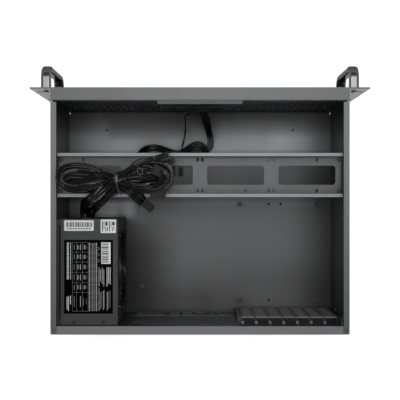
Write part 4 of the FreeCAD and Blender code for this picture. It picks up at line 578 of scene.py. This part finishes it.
# ------------------------------------------------------------------ print on the label and the stickers: plain rules, blocks and bars
def rects(name, z, items):
    verts, faces, ids = [], [], []
    for x0, y0, x1, y1, k in items:
        b = len(verts)
        verts += [Vector((x0, y0, z)) * MM, Vector((x1, y0, z)) * MM, Vector((x1, y1, z)) * MM, Vector((x0, y1, z)) * MM]
        faces.append((b, b + 1, b + 2, b + 3)); ids.append(k)
    return add(name, verts, faces, None, smooth=False, mats=[INK_LIGHT, INK_GREY, INK_DARK, M["sticker_film"]], ids=ids)


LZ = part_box("psu_label")[1].z * 1000
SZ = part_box("psu_stickers")[1].z * 1000
L0, L1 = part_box("psu_label")


def lab(px0, py0, px1, py1, k):
    xs = sorted((-(px0 - 200) * 1.4421, -(px1 - 200) * 1.4421))
    ys = sorted(((py0 - 200.5) * 1.4421 + 3, (py1 - 200.5) * 1.4421 + 3))
    return (xs[0], ys[0], xs[1], ys[1], k)


ROWS = (242.5, 252.3, 262.1, 272.4, 282.7, 292.5, 311.3)
ink = []
for x, w in ((66.9, 0.8), (68.1, 0.7), (70.3, 0.55)):
    y, q = 242.5, 0
    while y < 279.0:
        run = (2.6, 4.4, 1.8, 3.4, 5.2)[q % 5]
        ink.append(lab(x, y, x + w, min(y + run, 279.5), 0))
        y += run + 0.35
        q += 1
for k, (x, y0, y1) in enumerate(((66.6, 297.0, 309.5), (68.0, 296.4, 311.0), (70.0, 295.8, 304.5))):
    ink.append(lab(x, y0, x + 0.8, y1, 0))
for x in (72.3, 76.4, 82.4, 88.0):
    ink.append(lab(x, 242.5, x + 0.2, 311.5, 1))
for y in ROWS:
    ink.append(lab(72.3, y, 88.2, y + 0.2, 1))
for r in range(len(ROWS) - 1):
    ya, yb = ROWS[r], ROWS[r + 1]
    yy, hh = (ya + yb) / 2, min(3.4, (yb - ya) * 0.34)
    if r == len(ROWS) - 2:
        hh = 6.6
    ink.append(lab(74.0, yy - hh * 0.8, 74.5, yy + hh * 0.8, 1))
    for x, w, k, g in ((77.6, 0.45, 0, 0.75), (78.8, 0.3, 1, 0.5), (80.2, 0.45, 0, 0.85), (83.3, 0.4, 1, 0.6), (84.6, 0.5, 0, 0.7), (86.2, 0.3, 1, 0.45)):
        if r == len(ROWS) - 2 and x in (77.6, 78.8, 84.6):
            continue
        ink.append(lab(x, yy - hh * g, x + w, yy + hh * g * (1 - 0.12 * ((r * 5) % 3)), k))
for k, x in enumerate((89.0, 90.1, 91.6, 92.7, 94.2, 95.3, 96.4)):
    y, q = 243.0, 0
    while y < 310.0:
        run = (3.2, 5.6, 2.4, 4.2, 6.8, 2.0)[(q * 5 + k * 3) % 6]
        ink.append(lab(x, y, x + (0.5, 0.38)[k % 2], min(y + run, 311.3), 1 if k % 3 else 0))
        y += run + 0.4
        q += 1
for k, x in enumerate((98.8, 100.4, 102.0, 103.6)):
    ink.append(lab(x, 267.5 + (k % 2) * 2.2, x + 0.4, 286.5 - (k * 5 % 3) * 2.5, 0))
ink.append(lab(101.2, 242.6, 110.6, 264.0, 3))
bar, k = 243.6, 0
bars = []
while bar < 262.5:
    w = (0.45, 0.8, 0.35, 1.1, 0.55)[k % 5]
    bars.append(lab(101.8, bar, 108.6, bar + w, 2))
    bar += w + (0.5, 0.9, 0.4, 0.6)[k % 4]
    k += 1
for k, x in enumerate((98.9, 100.2, 101.4, 103.2, 104.2, 106.8, 107.7, 109.8)):
    ink.append(lab(x, 290.0 + (k * 3 % 4) * 0.8, x + 0.4, 311.0 - (k * 7 % 5) * 0.8, 0 if k % 3 == 0 else 1))
for k, x in enumerate((106.6, 108.2, 109.8)):
    ink.append(lab(x, 267.4, x + 0.7, 286.6 - (k * 3 % 4), 0))
for y in (247.0, 253.0, 259.0, 288.0, 296.0, 304.0):
    ink.append(lab(98.6, y, 99.2, y + 3.4, 1))
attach(rects("psu_label_print", LZ + 0.03, ink), "chassis")
rects("psu_label_bars", LZ + 0.05, bars)
st = []
y, k = 222.0, 0
x = 66.0
while x < 92.0:
    w = (0.5, 0.9, 0.35, 1.2, 0.6, 0.4, 0.8)[k % 7]
    st.append(lab(x, 222.4, x + w, 227.2, 2))
    x += w + (0.55, 0.4, 0.9, 0.5)[k % 4]
    k += 1
for k in range(9):
    st.append(lab(67.0 + k * 2.7, 228.4, 68.9 + k * 2.7, 229.4, 2))
for k, (x0, x1, y0, y1) in enumerate(((102.0, 103.0, 221.5, 231.5), (103.8, 104.4, 221.5, 229.0), (105.4, 107.6, 221.8, 226.0), (105.4, 106.2, 227.2, 231.6), (107.0, 107.8, 227.2, 231.0), (109.0, 109.8, 221.6, 231.6), (110.8, 111.3, 221.6, 228.2), (112.2, 114.6, 222.0, 225.6), (112.2, 112.8, 226.8, 231.4), (113.6, 114.2, 226.8, 230.0))):
    st.append(lab(x0, y0, x1, y1, 2))
rects("psu_sticker_bars", SZ + 0.03, st)

# ------------------------------------------------------------------ stage
fm = bpy.data.materials.new("studio_floor")
fm.use_nodes = True
nt = fm.node_tree
b = nt.nodes["Principled BSDF"]
b.inputs["Base Color"].default_value = (0.93, 0.93, 0.93, 1)
b.inputs["Roughness"].default_value = 0.85
b.inputs["Emission Color"].default_value = (1, 1, 1, 1)
b.inputs["Emission Strength"].default_value = 0.7
ftc = nt.nodes.new("ShaderNodeTexCoord")
fsp = nt.nodes.new("ShaderNodeSeparateXYZ")
nt.links.new(ftc.outputs["Object"], fsp.inputs[0])


def inside(axis, lo, hi):
    out = []
    for edge, sign in ((lo, 1), (hi, -1)):
        r = nt.nodes.new("ShaderNodeMapRange")
        r.inputs["From Min"].default_value = edge
        r.inputs["From Max"].default_value = edge + sign * 0.002
        nt.links.new(fsp.outputs[axis], r.inputs["Value"])
        out.append(r.outputs["Result"])
    m = nt.nodes.new("ShaderNodeMath"); m.operation = "MULTIPLY"
    nt.links.new(out[0], m.inputs[0]); nt.links.new(out[1], m.inputs[1])
    return m.outputs[0]


# painted shadow: inside the case's footprint the floor loses its glow and is coloured near black, standing in for the
# shade under the case
under_case_shadow = nt.nodes.new("ShaderNodeMath"); under_case_shadow.operation = "MULTIPLY"
nt.links.new(inside("X", -0.2105, 0.2105), under_case_shadow.inputs[0]); nt.links.new(inside("Y", -0.1555, 0.1915), under_case_shadow.inputs[1])
glow = nt.nodes.new("ShaderNodeMapRange")
glow.inputs["To Min"].default_value = 0.7
glow.inputs["To Max"].default_value = 0.0
nt.links.new(under_case_shadow.outputs[0], glow.inputs["Value"])
nt.links.new(glow.outputs["Result"], b.inputs["Emission Strength"])
base = nt.nodes.new("ShaderNodeMix")
base.data_type = "RGBA"
base.inputs[6].default_value = (0.93, 0.93, 0.93, 1)
base.inputs[7].default_value = (0.03, 0.03, 0.03, 1)
nt.links.new(under_case_shadow.outputs[0], base.inputs[0])
nt.links.new(base.outputs[2], b.inputs["Base Color"])
nz = nt.nodes.new("ShaderNodeTexNoise")
nz.inputs["Scale"].default_value = 40.0
bp = nt.nodes.new("ShaderNodeBump")
bp.inputs["Strength"].default_value = 0.02
nt.links.new(nz.outputs["Fac"], bp.inputs["Height"])
nt.links.new(bp.outputs["Normal"], b.inputs["Normal"])
me = bpy.data.meshes.new("floor")
me.from_pydata([(-6, -6, -0.0002), (6, -6, -0.0002), (6, 6, -0.0002), (-6, 6, -0.0002)], [], [(0, 1, 2, 3)])
me.materials.append(fm)
floor = bpy.data.objects.new("floor", me)
bpy.context.scene.collection.objects.link(floor)


KEY, SIDE = 19.0, 0.6


def area(name, loc, target, size, size_y, power, colour=(1, 1, 1)):
    d = bpy.data.lights.new(name, "AREA")
    d.shape, d.size, d.size_y, d.energy, d.color = "RECTANGLE", size, size_y, power, colour
    o = bpy.data.objects.new(name, d)
    o.location = loc
    o.rotation_euler = (Vector(target) - Vector(loc)).to_track_quat("-Z", "Y").to_euler()
    bpy.context.scene.collection.objects.link(o)
    return o


area("key", (0.02, -0.36, 2.3), (0.0, -0.05, 0.05), 1.9, 1.3, KEY)
area("key_front", (-0.12, -0.42, 2.2), (-0.05, -0.08, 0.05), 0.8, 0.6, 3.4)
area("fill_left", (-2.2, 0.2, 1.4), (0, 0, 0.1), 1.2, 1.6, SIDE)
area("fill_right", (2.2, 0.4, 1.4), (0, 0, 0.1), 1.2, 1.6, SIDE)
area("back", (0.1, 2.3, 1.5), (0, 0, 0.1), 1.8, 1.0, SIDE)
world = bpy.data.worlds.new("world")
bpy.context.scene.world = world
world.use_nodes = True
world.node_tree.nodes["Background"].inputs["Color"].default_value = (1, 1, 1, 1)
wt = world.node_tree
sky = wt.nodes["Background"]
wc = wt.nodes.new("ShaderNodeTexCoord")
ws = wt.nodes.new("ShaderNodeSeparateXYZ")
wt.links.new(wc.outputs["Generated"], ws.inputs[0])
wr = wt.nodes.new("ShaderNodeMapRange")
wr.inputs["From Min"].default_value = 0.30
wr.inputs["From Max"].default_value = 0.62
wr.inputs["To Min"].default_value = 0.95
wr.inputs["To Max"].default_value = 0.08
wr.interpolation_type = "SMOOTHSTEP"
wt.links.new(ws.outputs["Z"], wr.inputs["Value"])
wt.links.new(wr.outputs["Result"], sky.inputs["Strength"])
bpy.context.scene.view_settings.view_transform = "Standard"
bpy.context.scene.view_settings.look = "None"
